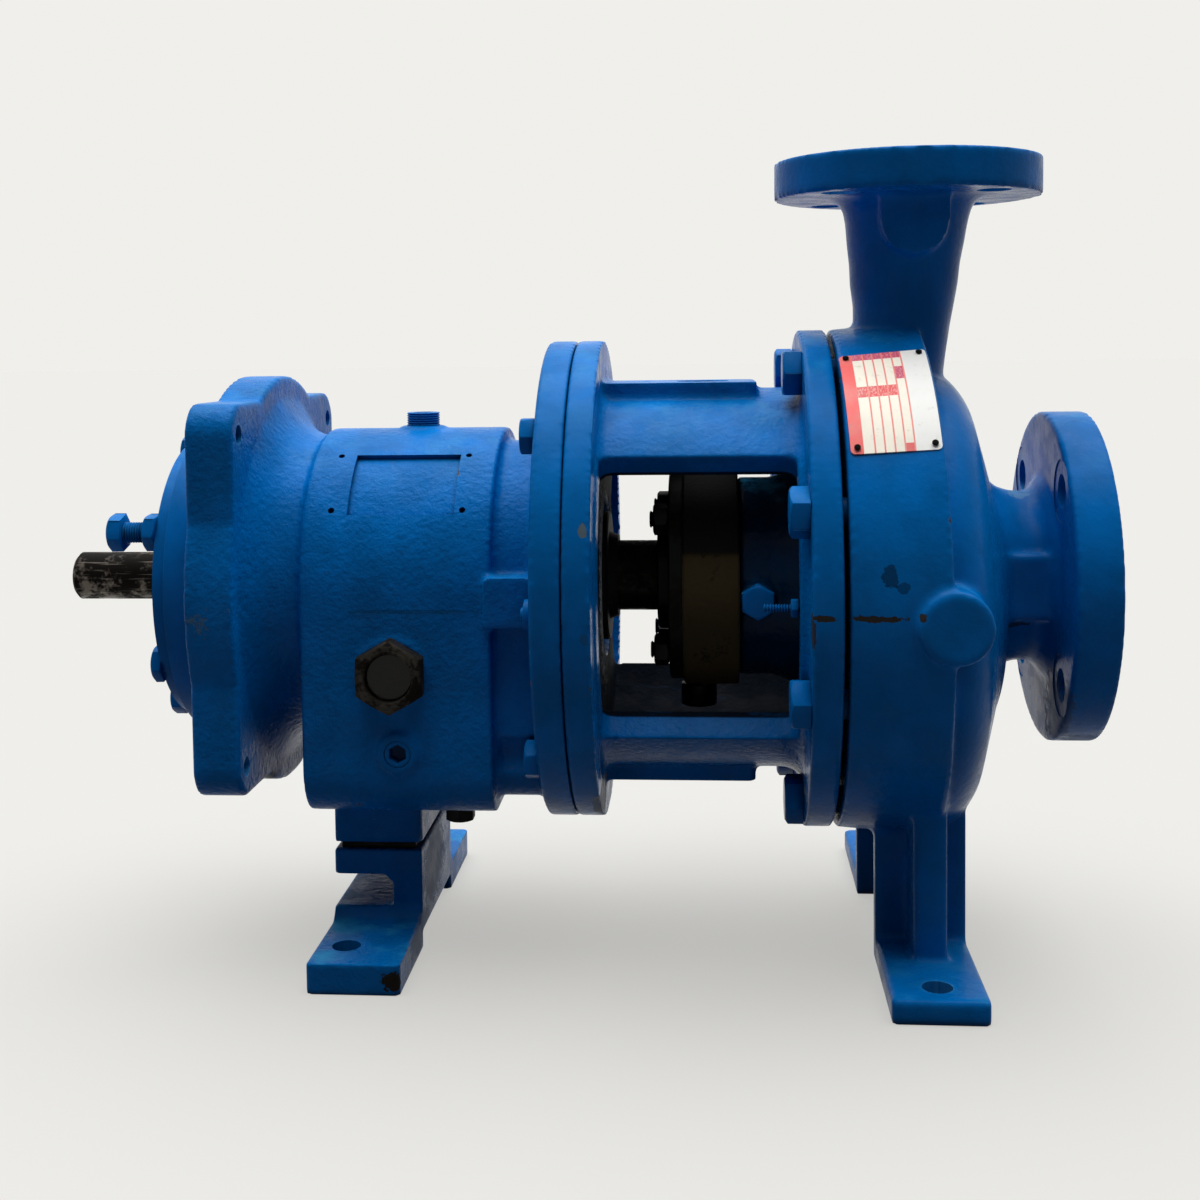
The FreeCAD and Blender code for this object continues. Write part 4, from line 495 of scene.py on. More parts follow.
@dataclass(frozen=True)
class Effects:
    """Shader groups that several finishes share."""

    wear_and_highlight: bpy.types.NodeTree
    corner_wear_and_highlight: bpy.types.NodeTree
    grain: bpy.types.NodeTree
    dirt_and_light: bpy.types.NodeTree

    @classmethod
    def build(cls) -> "Effects":
        """Makes the groups once."""
        return cls(cls.make_wear_and_highlight("Edge wear", False), cls.make_wear_and_highlight("Corner wear", True), cls.make_grain(),
                   cls.make_dirt_and_light())

    @staticmethod
    def make_wear_and_highlight(name: str, sharp: bool) -> bpy.types.NodeTree:
        """Edges rubbed bright, which also paints a highlight along them, and chips broken out of them and of flat
        places.

        Args:
            name: Name of the group.
            sharp: Whether edges are found as sharp corners, as on turned pieces, or as bulges of a
                dense cast skin.

        Returns:
            The group.
        """
        graph, given, out = new_group(name, {"Rubbed edge and highlight": 1.0, "Chips": 1.0}, ["Rubbed edge and highlight", "Chip", "Rim"])
        place = graph.place()
        geometry = graph.add("ShaderNodeNewGeometry")
        ragged = graph.math("SUBTRACT", graph.noise(place, 260, 4, 0.65), 0.5)
        if sharp:
            corner = graph.add("ShaderNodeBevel", {"Radius": 0.0006}, samples=6)
            level = graph.add("ShaderNodeVectorMath", {0: corner.outputs[0], 1: geometry.outputs["Normal"]},
                              operation="DOT_PRODUCT").outputs["Value"]
            point = graph.math("ADD", graph.math("MULTIPLY", graph.math("SUBTRACT", 1.0, level), 0.5), 0.5)
        else:
            point = geometry.outputs["Pointiness"]
        lifted = graph.math("ADD", point, graph.math("MULTIPLY", ragged, 0.05))
        edge = graph.span(lifted, 0.545, 0.60)
        patches = graph.span(graph.noise(place, 18, 3, 0.6), 0.42, 0.62)
        edge = graph.math("MULTIPLY", graph.math("MULTIPLY", edge, patches), given.outputs["Rubbed edge and highlight"], clamp=True)
        spots = graph.noise(place, 95, 5, 0.62)
        where = graph.noise(graph.add("ShaderNodeMapping", {"Vector": place, "Location": (3, 7, 1)}).outputs[0], 14, 2)
        near_edge = graph.span(point, 0.5, 0.56, 0.0, 0.085)
        sum_ = graph.math("ADD", graph.math("ADD", spots, graph.math("MULTIPLY", where, 0.22)), near_edge)
        chips = graph.math("MULTIPLY", given.outputs["Chips"], 0.035)
        sum_ = graph.math("ADD", sum_, chips)
        graph.tree.links.new(edge, out.inputs["Rubbed edge and highlight"])
        graph.tree.links.new(graph.span(sum_, 0.905, 0.915), out.inputs["Chip"])
        graph.tree.links.new(graph.span(sum_, 0.893, 0.905), out.inputs["Rim"])
        return graph.tree

    @staticmethod
    def make_grain() -> bpy.types.NodeTree:
        """Height of sand-cast metal under thick paint."""
        graph, given, out = new_group("Cast grain", {"Coarse": 1.0, "Fine": 1.0}, ["Height", "Mottle"])
        place = graph.place()
        coarse = graph.noise(place, 280, 2, 0.5)
        fine = graph.noise(place, 700, 3, 0.6)
        broad = graph.noise(place, 32, 3, 0.5)
        height = graph.math("ADD", graph.math("MULTIPLY", coarse, given.outputs["Coarse"]),
                            graph.math("MULTIPLY", graph.math("MULTIPLY", fine, 0.35), given.outputs["Fine"]))
        height = graph.math("ADD", height, graph.math("MULTIPLY", broad, 0.9))
        graph.tree.links.new(height, out.inputs["Height"])
        graph.tree.links.new(broad, out.inputs["Mottle"])
        return graph.tree

    @staticmethod
    def make_dirt_and_light() -> bpy.types.NodeTree:
        """Dusty tops that also carry a painted highlight, and grimy creases that also carry painted shade from ambient
        occlusion, with upright streaks.
        """
        graph, given, out = new_group("Dirt and painted light", {"Dust and highlight": 1.0, "Grime and shade": 1.0}, ["Dust and highlight", "Grime and shade"])
        place = graph.place()
        normal = graph.add("ShaderNodeSeparateXYZ", {0: graph.add("ShaderNodeNewGeometry").outputs["Normal"]})
        # Up-facing mask: dusty roughness, and a paler cyan painted highlight on the tops.
        facing = graph.span(normal.outputs["Z"], 0.55, 0.98)
        cloud = graph.span(graph.noise(place, 40, 5, 0.65), 0.45, 0.75)
        dust_and_highlight = graph.math("MULTIPLY", graph.math("MULTIPLY", facing, cloud), given.outputs["Dust and highlight"], clamp=True)
        # Ambient occlusion darkens where surfaces meet: painted shade, mixed with grimy streaks.
        shade = graph.add("ShaderNodeAmbientOcclusion", {"Distance": 0.009}, samples=6)
        crease_shade = graph.span(shade.outputs["AO"], 0.78, 0.30)
        streak = graph.span(graph.noise(place, 60, 4, 0.6, (1, 1, 0.3)), 0.45, 0.75)
        grime_and_shade = graph.math("MULTIPLY", graph.math("ADD", crease_shade, graph.math("MULTIPLY", streak, 0.18)),
                           given.outputs["Grime and shade"], clamp=True)
        graph.tree.links.new(dust_and_highlight, out.inputs["Dust and highlight"])
        graph.tree.links.new(grime_and_shade, out.inputs["Grime and shade"])
        return graph.tree


def fresh_material(name: str) -> tuple[bpy.types.Material, Graph, bpy.types.Node]:
    """New material with a Principled shader joined to its output."""
    material = bpy.data.materials.new(name)
    material.use_nodes = True
    graph = Graph(material.node_tree)
    shader = graph.add("ShaderNodeBsdfPrincipled")
    output = graph.add("ShaderNodeOutputMaterial")
    graph.tree.links.new(shader.outputs[0], output.inputs[0])
    return material, graph, shader


@dataclass(frozen=True)
class Mark:
    """Local mark: a round or drawn-out patch of bare metal, stain or dirty film, or of painted light."""

    centre: Point
    reach: Point
    strength: float = 1.0
    tone: Colour = (46, 41, 37)


@dataclass(frozen=True)
class Hollow:
    """Stretch of the inside round the shaft axis that is painted near black, as grime and painted shade, in
    millimetres.
    """

    low_x: float
    high_x: float
    radius: float


@dataclass(frozen=True)
class Enamel:
    """Thick blue enamel on cast iron or steel."""

    name: str
    body: Colour = (0, 101, 176)
    coarse: float = 1.0
    fine: float = 1.0
    bump: float = 0.45
    # Strength of rubbed edges and their painted highlight.
    edge: float = 1.0
    chips: float = 1.0
    # Strength of dusty tops and their painted highlight.
    dust_and_highlight: float = 0.35
    # Strength of grimy creases and their painted shade.
    grime_and_shade: float = 1.0
    gloss: float = 0.24
    sharp: bool = False
    # Inside painted near black: grime and painted shade.
    hollow: Optional[Hollow] = None
    rims_beyond: float = 0.0
    marks: tuple[Mark, ...] = ()

    def build(self, effects: Effects) -> bpy.types.Material:
        """Makes the material.

        Args:
            effects: Shared shader groups.

        Returns:
            The material.
        """
        material, graph, shader = fresh_material(self.name)
        place = graph.place()
        wear_and_highlight = graph.add("ShaderNodeGroup", node_tree=effects.corner_wear_and_highlight if self.sharp else effects.wear_and_highlight)
        wear_and_highlight.inputs["Rubbed edge and highlight"].default_value = self.edge
        wear_and_highlight.inputs["Chips"].default_value = self.chips
        grain = graph.add("ShaderNodeGroup", node_tree=effects.grain)
        grain.inputs["Coarse"].default_value = self.coarse
        grain.inputs["Fine"].default_value = self.fine
        dirt_and_light = graph.add("ShaderNodeGroup", node_tree=effects.dirt_and_light)
        dirt_and_light.inputs["Dust and highlight"].default_value = self.dust_and_highlight
        dirt_and_light.inputs["Grime and shade"].default_value = self.grime_and_shade
        tone = graph.span(grain.outputs["Mottle"], 0.35, 0.68)
        dark = srgb(*(round(value * 0.90) for value in self.body))
        paint = graph.mix(tone, dark, srgb(*self.body))
        fade = graph.span(graph.noise(place, 9, 4, 0.6), 0.45, 0.75, 0.0, 0.12)
        paint = graph.mix(fade, paint, srgb(14, 116, 186))
        # Pale blue on the edges: rubbed paint, and a painted highlight along them.
        paint = graph.mix(graph.math("MULTIPLY", wear_and_highlight.outputs["Rubbed edge and highlight"], 0.5), paint, srgb(84, 164, 216))
        # Dark blue where surfaces meet and in streaks: grime, and painted shade in the creases.
        paint = graph.mix(graph.math("MULTIPLY", dirt_and_light.outputs["Grime and shade"], 0.72), paint, srgb(8, 20, 30))
        # Paler cyan on what faces up: painted highlight on the tops, where the same mask also adds dusty roughness.
        paint = graph.mix(graph.math("MULTIPLY", dirt_and_light.outputs["Dust and highlight"], 0.7), paint, srgb(52, 148, 192))
        paint = graph.mix(graph.math("MULTIPLY", wear_and_highlight.outputs["Rim"], 0.5), paint, srgb(104, 158, 196))
        # Near black inside the hollow round the shaft: grime, and painted shade inside the lantern.
        reach = self.reach(graph, place)
        inside_grime_and_shade = self.inside_grime_and_shade(graph, place, reach)
        paint = graph.mix(inside_grime_and_shade, paint, srgb(5, 8, 11))
        bare = graph.mix(graph.span(graph.noise(place, 300, 4), 0.4, 0.6), srgb(30, 28, 28), srgb(74, 66, 60))
        chip = wear_and_highlight.outputs["Chip"]
        colour = graph.mix(chip, paint, bare)
        for mark in self.marks:
            worn = self.patch(graph, place, mark)
            colour = graph.mix(worn, colour, srgb(*mark.tone))
            chip = graph.math("MAXIMUM", chip, worn)
        rough = graph.math("ADD", graph.span(graph.noise(place, 70, 4), 0.3, 0.7, self.gloss - 0.05, self.gloss + 0.10),
                           graph.math("MULTIPLY", chip, 0.35))
        rough = graph.math("ADD", rough, graph.math("MULTIPLY", dirt_and_light.outputs["Dust and highlight"], 0.25), clamp=True)
        rough = graph.math("ADD", rough, graph.math("MULTIPLY", inside_grime_and_shade, 0.5), clamp=True)
        height = grain.outputs["Height"]
        if self.rims_beyond:
            rim = graph.span(reach, (self.rims_beyond - 1) * MM, (self.rims_beyond + 1) * MM)
            rim = graph.math("MULTIPLY", rim, graph.math("GREATER_THAN", self.split(graph, place).outputs["X"], -0.212))
            height = graph.math("MULTIPLY", height, graph.math("SUBTRACT", 1.0, graph.math("MULTIPLY", rim, 0.8)))
        height = graph.math("SUBTRACT", height, graph.math("MULTIPLY", chip, 0.8))
        bump = graph.add("ShaderNodeBump", {"Height": height, "Strength": self.bump, "Distance": 0.0009})
        graph.tree.links.new(colour, shader.inputs["Base Color"])
        graph.tree.links.new(rough, shader.inputs["Roughness"])
        graph.tree.links.new(bump.outputs[0], shader.inputs["Normal"])
        shader.inputs["Specular IOR Level"].default_value = 0.04
        return material

    @staticmethod
    def split(graph: Graph, place: bpy.types.NodeSocket) -> bpy.types.Node:
        """X, Y and Z of a place."""
        return graph.add("ShaderNodeSeparateXYZ", {0: place})

    @classmethod
    def reach(cls, graph: Graph, place: bpy.types.NodeSocket) -> bpy.types.NodeSocket:
        """Distance from the shaft axis in metres."""
        parts = cls.split(graph, place)
        height = graph.math("SUBTRACT", parts.outputs["Z"], AXIS_HEIGHT * MM)
        squares = graph.math("ADD", graph.math("MULTIPLY", height, height),
                             graph.math("MULTIPLY", parts.outputs["Y"], parts.outputs["Y"]))
        return graph.math("SQRT", squares)

    def inside_grime_and_shade(self, graph: Graph, place: bpy.types.NodeSocket, reach: bpy.types.NodeSocket) -> object:
        """Mask of the black, greasy inside, which is grime and painted shade, streaked where it was rubbed.

        Args:
            graph: Tree of the material.
            place: Object coordinates.
            reach: Distance from the shaft axis.

        Returns:
            Mask that is near one inside, or zero for a finish without a hollow.
        """
        if self.hollow is None:
            return 0.0
        across = self.split(graph, place).outputs["X"]
        inside = graph.span(reach, (self.hollow.radius + 0.8) * MM, (self.hollow.radius - 0.8) * MM)
        after = graph.math("GREATER_THAN", across, self.hollow.low_x * MM)
        before = graph.math("LESS_THAN", across, self.hollow.high_x * MM)
        streaks = graph.span(graph.noise(place, 150, 5, 0.7, (0.25, 1, 1)), 0.55, 0.80, 0.98, 0.72)
        return graph.math("MULTIPLY", graph.math("MULTIPLY", inside, streaks), graph.math("MULTIPLY", after, before))

    @staticmethod
    def patch(graph: Graph, place: bpy.types.NodeSocket, mark: Mark) -> bpy.types.NodeSocket:
        """Ragged mask round a local mark.

        Args:
            graph: Tree of the material.
            place: Object coordinates.
            mark: Where the patch is and how far it reaches.

        Returns:
            Mask that is one on bare metal.
        """
        scale = tuple(1 / (value * MM) for value in mark.reach)
        centre = metres(*mark.centre)
        shift = tuple(-centre[i] * scale[i] for i in range(3))
        near = graph.add("ShaderNodeMapping", {"Vector": place, "Location": shift, "Scale": scale})
        length = graph.add("ShaderNodeVectorMath", {0: near.outputs[0]}, operation="LENGTH").outputs["Value"]
        ragged = graph.noise(place, 230, 5, 0.7)
        sum_ = graph.math("ADD", length, graph.math("MULTIPLY", graph.math("SUBTRACT", ragged, 0.5), 2.4))
        return graph.math("MULTIPLY", graph.span(sum_, 1.02, 0.94), mark.strength)


@dataclass(frozen=True)
class Metal:
    """Bare or blackened metal with stains."""

    name: str
    clean: Colour
    stain: Colour
    stained: float = 0.5
    metallic: float = 1.0
    gloss: float = 0.35
    scratches: float = 0.3
    bump: float = 0.15
    # Height above the shaft axis over which the stain is left off, which paints shadow there.
    painted_shadow_above: float = 1000.0

    def build(self, effects: Effects) -> bpy.types.Material:
        """Makes the material from its colours, stains, rubbed edges with their painted highlight, and any painted
        shadow above a given height.
        """
        material, graph, shader = fresh_material(self.name)
        place = graph.place()
        wear_and_highlight = graph.add("ShaderNodeGroup", node_tree=effects.corner_wear_and_highlight)
        blot = graph.noise(place, 55, 6, 0.65)
        speck = graph.noise(place, 420, 3, 0.6)
        mask = graph.span(graph.math("ADD", blot, graph.math("MULTIPLY", graph.math("SUBTRACT", speck, 0.5), 0.35)),
                          0.62 - self.stained * 0.32, 0.74 - self.stained * 0.28)
        # Above the given height the stain is left off: painted shadow.
        level = graph.add("ShaderNodeSeparateXYZ", {0: place}).outputs["Z"]
        edge = up(self.painted_shadow_above) * MM
        mask = graph.math("MULTIPLY", mask, graph.span(level, edge + 0.002, edge - 0.002))
        lines = graph.span(graph.noise(place, 900, 2, 0.5, (0.04, 1, 1)), 0.60, 0.72)
        colour = graph.mix(mask, srgb(*self.clean), srgb(*self.stain))
        bright = tuple(min(255, round(value * 1.35 + 20)) for value in self.clean)
        colour = graph.mix(graph.math("MULTIPLY", lines, self.scratches), colour, srgb(*bright))
        # Brighter metal on the edges: rubbed bright, and a painted highlight along them.
        colour = graph.mix(graph.math("MULTIPLY", wear_and_highlight.outputs["Rubbed edge and highlight"], 0.4), colour, srgb(*bright))
        rough = graph.math("ADD", graph.math("MULTIPLY", mask, 0.35), self.gloss, clamp=True)
        metallic = graph.math("MULTIPLY", graph.math("SUBTRACT", 1.0, graph.math("MULTIPLY", mask, 0.6)), self.metallic)
        height = graph.math("ADD", speck, graph.math("MULTIPLY", blot, 0.7))
        bump = graph.add("ShaderNodeBump", {"Height": height, "Strength": self.bump, "Distance": 0.0005})
        graph.tree.links.new(colour, shader.inputs["Base Color"])
        graph.tree.links.new(rough, shader.inputs["Roughness"])
        graph.tree.links.new(metallic, shader.inputs["Metallic"])
        shader.inputs["Specular IOR Level"].default_value = 0.05
        graph.tree.links.new(bump.outputs[0], shader.inputs["Normal"])
        return material


@dataclass(frozen=True)
class Moulded:
    """Rubber, fibre or carbon."""

    name: str
    tone: Colour
    gloss: float = 0.6

    def build(self, effects: Effects) -> bpy.types.Material:
        """Makes the material with a fine moulded grain."""
        material, graph, shader = fresh_material(self.name)
        place = graph.place()
        grain = graph.noise(place, 800, 3)
        pale = tuple(min(255, value + 18) for value in self.tone)
        colour = graph.mix(graph.span(graph.noise(place, 60, 4), 0.45, 0.75), srgb(*self.tone), srgb(*pale))
        bump = graph.add("ShaderNodeBump", {"Height": grain, "Strength": 0.12, "Distance": 0.0003})
        graph.tree.links.new(colour, shader.inputs["Base Color"])
        graph.tree.links.new(graph.span(grain, 0.3, 0.7, self.gloss - 0.08, self.gloss + 0.08),
                             shader.inputs["Roughness"])
        graph.tree.links.new(bump.outputs[0], shader.inputs["Normal"])
        shader.inputs["Specular IOR Level"].default_value = 0.05
        return material


@dataclass(frozen=True)
class PrintedPlate:
    """Cream name plate with red bands, red-ruled columns and nothing filled in."""

    name: str = "Printed plate"
    centre_x: float = -21.0
    width: float = 46.0
    middle: float = 41.8
    sweep: float = 29.6
    radius: float = 146.0
    tilt: float = 1.3

    def build(self, effects: Effects) -> bpy.types.Material:
        """Makes the printed pattern from the place along and round the band."""
        material, graph, shader = fresh_material(self.name)
        place = graph.place()
        parts = graph.add("ShaderNodeSeparateXYZ", {0: place})
        height = graph.math("SUBTRACT", parts.outputs["Z"], AXIS_HEIGHT * MM)
        turn = graph.math("ARCTAN2", graph.math("MULTIPLY", parts.outputs["Y"], -1.0), height)
        along_x = graph.math("SUBTRACT", parts.outputs["X"], self.centre_x * MM)
        round_ = graph.math("MULTIPLY", graph.math("SUBTRACT", turn, math.radians(self.middle)), self.radius * MM)
        sine, cosine = math.sin(math.radians(self.tilt)), math.cos(math.radians(self.tilt))
        own_x = graph.math("SUBTRACT", graph.math("MULTIPLY", along_x, cosine), graph.math("MULTIPLY", round_, sine))
        own_y = graph.math("ADD", graph.math("MULTIPLY", along_x, sine), graph.math("MULTIPLY", round_, cosine))
        across = graph.math("ADD", graph.math("DIVIDE", own_x, self.width * MM), 0.5)
        long = math.radians(self.sweep) * self.radius
        down = graph.math("ADD", graph.math("DIVIDE", own_y, long * MM), 0.5)

        def inside(value: object, low: float, high: float) -> bpy.types.NodeSocket:
            after = graph.math("GREATER_THAN", value, low)
            return graph.math("MULTIPLY", after, graph.math("LESS_THAN", value, high))

        def box(left: float, right: float, top: float, bottom: float) -> bpy.types.NodeSocket:
            return graph.math("MULTIPLY", inside(across, left, right), inside(down, top, bottom))

        cream, red, pink, rose = srgb(247, 240, 224), srgb(232, 92, 92), srgb(240, 140, 132), srgb(206, 84, 112)
        colour = graph.mix(inside(across, 0.715, 1.1), cream, srgb(240, 240, 236))
        smudge = graph.span(graph.noise(place, 900, 2, 0.5, (2.0, 0.6, 0.6)), 0.5, 0.6, 0.0, 0.6)
        colour = graph.mix(box(0.145, 0.70, -0.1, 0.085), colour, graph.mix(smudge, rose, srgb(236, 170, 180)))
        colour = graph.mix(box(0.60, 0.70, 0.20, 0.345), colour, graph.mix(smudge, rose, srgb(236, 170, 180)))
        colour = graph.mix(box(0.145, 0.60, 0.405, 0.515), colour, graph.mix(smudge, red, srgb(246, 196, 186)))
        colour = graph.mix(box(0.60, 0.71, 0.935, 1.1), colour, red)
        for line in (0.27, 0.38, 0.49, 0.60, 0.705):
            colour = graph.mix(inside(across, line - 0.009, line + 0.009), colour, pink)
        colour = graph.mix(inside(across, -0.1, 0.145), colour, srgb(244, 108, 104))
        wash = graph.span(graph.noise(place, 60, 4, 0.6), 0.45, 0.75, 0.0, 0.18)
        colour = graph.mix(wash, colour, srgb(196, 200, 190))
        stain = graph.span(graph.noise(place, 190, 5, 0.65), 0.60, 0.72, 0.0, 0.35)
        colour = graph.mix(stain, colour, srgb(160, 150, 136))
        bump = graph.add("ShaderNodeBump", {"Height": graph.noise(place, 260, 3), "Strength": 0.08, "Distance": 0.0004})
        graph.tree.links.new(colour, shader.inputs["Base Color"])
        graph.tree.links.new(bump.outputs[0], shader.inputs["Normal"])
        shader.inputs["Roughness"].default_value = 0.35
        shader.inputs["Specular IOR Level"].default_value = 0.2
        return material


@dataclass(frozen=True)
class SightGlass:
    """Flat glass with black old oil behind it."""

    name: str = "Sight glass"

    def build(self, effects: Effects) -> bpy.types.Material:
        """Makes glass with a film of old oil."""
        material, graph, shader = fresh_material(self.name)
        place = graph.place()
        film = graph.noise(place, 260, 4)
        graph.tree.links.new(graph.mix(graph.span(film, 0.45, 0.75), srgb(5, 5, 4), srgb(26, 22, 16)),
                             shader.inputs["Base Color"])
        graph.tree.links.new(graph.span(film, 0.3, 0.7, 0.10, 0.35), shader.inputs["Roughness"])
        shader.inputs["Specular IOR Level"].default_value = 0.15
        return material


DIRT = (62, 58, 48)
STRAW = (132, 122, 92)
DUST = (128, 124, 116)
CAST_MARKS = (
    Mark((-386, -113, -8), (10, 8, 12), 0.45, (88, 96, 70)),
    Mark((-372, -62, -112), (8, 22, 6), 0.8, STRAW),
    Mark((-276, -89, -7.4), (40, 6, 1.1), 0.5, (20, 60, 90)),
    Mark((-192, -50, 4), (5, 12, 40), 0.6, DUST),
)
LANTERN_MARKS = (
    Mark((-180, -133, 42), (2.4, 8, 3.6), 0.8, (92, 96, 84)),
    Mark((-180, -139, -13), (2.2, 8, 3.4), 0.45, (40, 70, 84)),
    # Pale strip on the inner face of the lantern's left flange: painted light, lightened because the inside is dimly
    # lit.
    Mark((-176.6, -30, 0), (2, 34, 50), 0.85, (214, 210, 202)),
    Mark((-178, -60, -118), (3, 40, 12), 0.6, STRAW),
    Mark((-60, -146, -1.3), (10, 6, 1.6), 1.0),
    Mark((-64, -138, -8), (2, 8, 9), 0.9),
    Mark((-70, -70, -110), (8, 30, 5), 0.5, DUST),
)
CASING_MARKS = (
    Mark((-33, -146, -1.3), (15, 6, 1.7), 1.0),
    Mark((-26.3, -145.5, 21.1), (4, 6, 6), 0.7, (8, 30, 48)),
    Mark((-19, -145, 14), (3, 6, 3), 0.6, (8, 30, 48)),
    Mark((-11, -151, 1), (2.4, 3, 2.6), 1.0),
    Mark((48, -50, -21), (16, 10, 1.6), 0.8, (24, 26, 24)),
    Mark((76, -58, -72), (5, 40, 26), 0.55, DIRT),
    Mark((92, -40, -90), (12, 40, 7), 0.5, DIRT),
    Mark((62, -11, 51), (6, 16, 5), 0.5, (96, 140, 170)),
)
FOOT_MARKS = (
    Mark((-286, -119, -202), (6, 4, 6), 1.0, (24, 22, 20)),
    Mark((-282.6, -10, -172), (2, 34, 22), 0.55, DUST),
    Mark((-282.6, -60, -196), (2, 30, 10), 0.45, DUST),
)


@dataclass(frozen=True)
class Palette:
    """Every finish of the pump, made once."""

    cast: bpy.types.Material
    lantern: bpy.types.Material
    casing: bpy.types.Material
    chamber: bpy.types.Material
    machined: bpy.types.Material
    fastener: bpy.types.Material
    foot: bpy.types.Material
    shaft: bpy.types.Material
    steel: bpy.types.Material
    sleeve: bpy.types.Material
    fitting: bpy.types.Material
    black: bpy.types.Material
    rust: bpy.types.Material
    bright: bpy.types.Material
    rubber: bpy.types.Material
    fibre: bpy.types.Material
    carbon: bpy.types.Material
    plate: bpy.types.Material
    glass: bpy.types.Material

    @classmethod
    def build(cls) -> "Palette":
        """Mixes the finishes."""
        effects = Effects.build()
        blue = "Blue enamel on "
        return cls(
            cast=Enamel(blue + "castings", bump=0.7, rims_beyond=125, marks=CAST_MARKS).build(effects),
            # Near-black inside of the lantern: grime and painted shade.
            lantern=Enamel(blue + "the lantern", bump=0.6, hollow=Hollow(-177, -63, 98), rims_beyond=125,
                           marks=LANTERN_MARKS).build(effects),
            casing=Enamel(blue + "the casing", coarse=0.6, fine=0.8, bump=0.3, marks=CASING_MARKS).build(effects),
            # Darker copy of the blue enamel for the chamber inside the lantern: painted shade.
            chamber=Enamel(blue + "the seal chamber, darkened as painted shade", (3, 34, 62), chips=1.5, dust_and_highlight=1.0).build(effects),
            # Strong edge setting: rubbed edges and painted highlight lines on the turned discs.
            machined=Enamel(blue + "turned faces", coarse=0.35, bump=0.2, edge=2.4, sharp=True).build(effects),
            fastener=Enamel(blue + "bolts", coarse=0.3, fine=1.3, bump=0.25, chips=1.4, sharp=True).build(effects),
            foot=Enamel(blue + "the frame foot", coarse=0.8, chips=1.6, dust_and_highlight=1.2, marks=FOOT_MARKS).build(effects),
            shaft=Metal("Worn shaft steel", (84, 78, 72), (13, 10, 8), 0.9, 0.85, 0.34, 0.5).build(effects),
            steel=Metal("Bare steel", (150, 150, 148), (90, 80, 70), 0.35).build(effects),
            sleeve=Metal("Dark sleeve steel", (16, 16, 15), (9, 8, 6), 0.6, 0.7, 0.35, 0.2).build(effects),
            fitting=Metal("Worn brown fitting", (44, 41, 37), (18, 15, 12), 0.7, 0.5, 0.45, 0.2).build(effects),
            black=Metal("Black oxide", (7, 8, 9), (17, 14, 11), 0.4, 0.3, 0.40, 0.15).build(effects),
            # Rust left off above 20 mm over the axis: the gland's upper part near black as a painted shadow of the
            # lantern's top bar.
            rust=Metal("Dark rusted iron", (12, 11, 10), (74, 61, 40), 1.1, 0.1, 0.65, 0.02, 0.9, 20.0).build(effects),
            bright=Metal("Bearing steel", (205, 205, 206), (150, 148, 144), 0.1, 1.0, 0.18).build(effects),
            rubber=Moulded("Black rubber", (12, 12, 13)).build(effects),
            fibre=Moulded("Gasket fibre", (16, 16, 17), 0.8).build(effects),
            carbon=Moulded("Carbon", (34, 34, 36), 0.4).build(effects),
            plate=PrintedPlate().build(effects),
            glass=SightGlass().build(effects),
        )


def show(piece: bpy.types.Object, material: bpy.types.Material, body: str,
         nodes: Iterable[str] = ()) -> bpy.types.Object:
    """Gives a piece its finish, its body and the nodes that it stands for.

    Args:
        piece: Finished piece.
        material: Its finish.
        body: Body that it rides on.
        nodes: Nodes of the frame that it replaces.

    Returns:
        The piece.
    """
    piece.data.materials.clear()
    piece.data.materials.append(material)
    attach(piece, body)
    if nodes:
        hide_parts(*nodes)
    log.info("%s rides on %s with %d faces", piece.name, body, len(piece.data.polygons))
    return piece


# Sub-assemblies


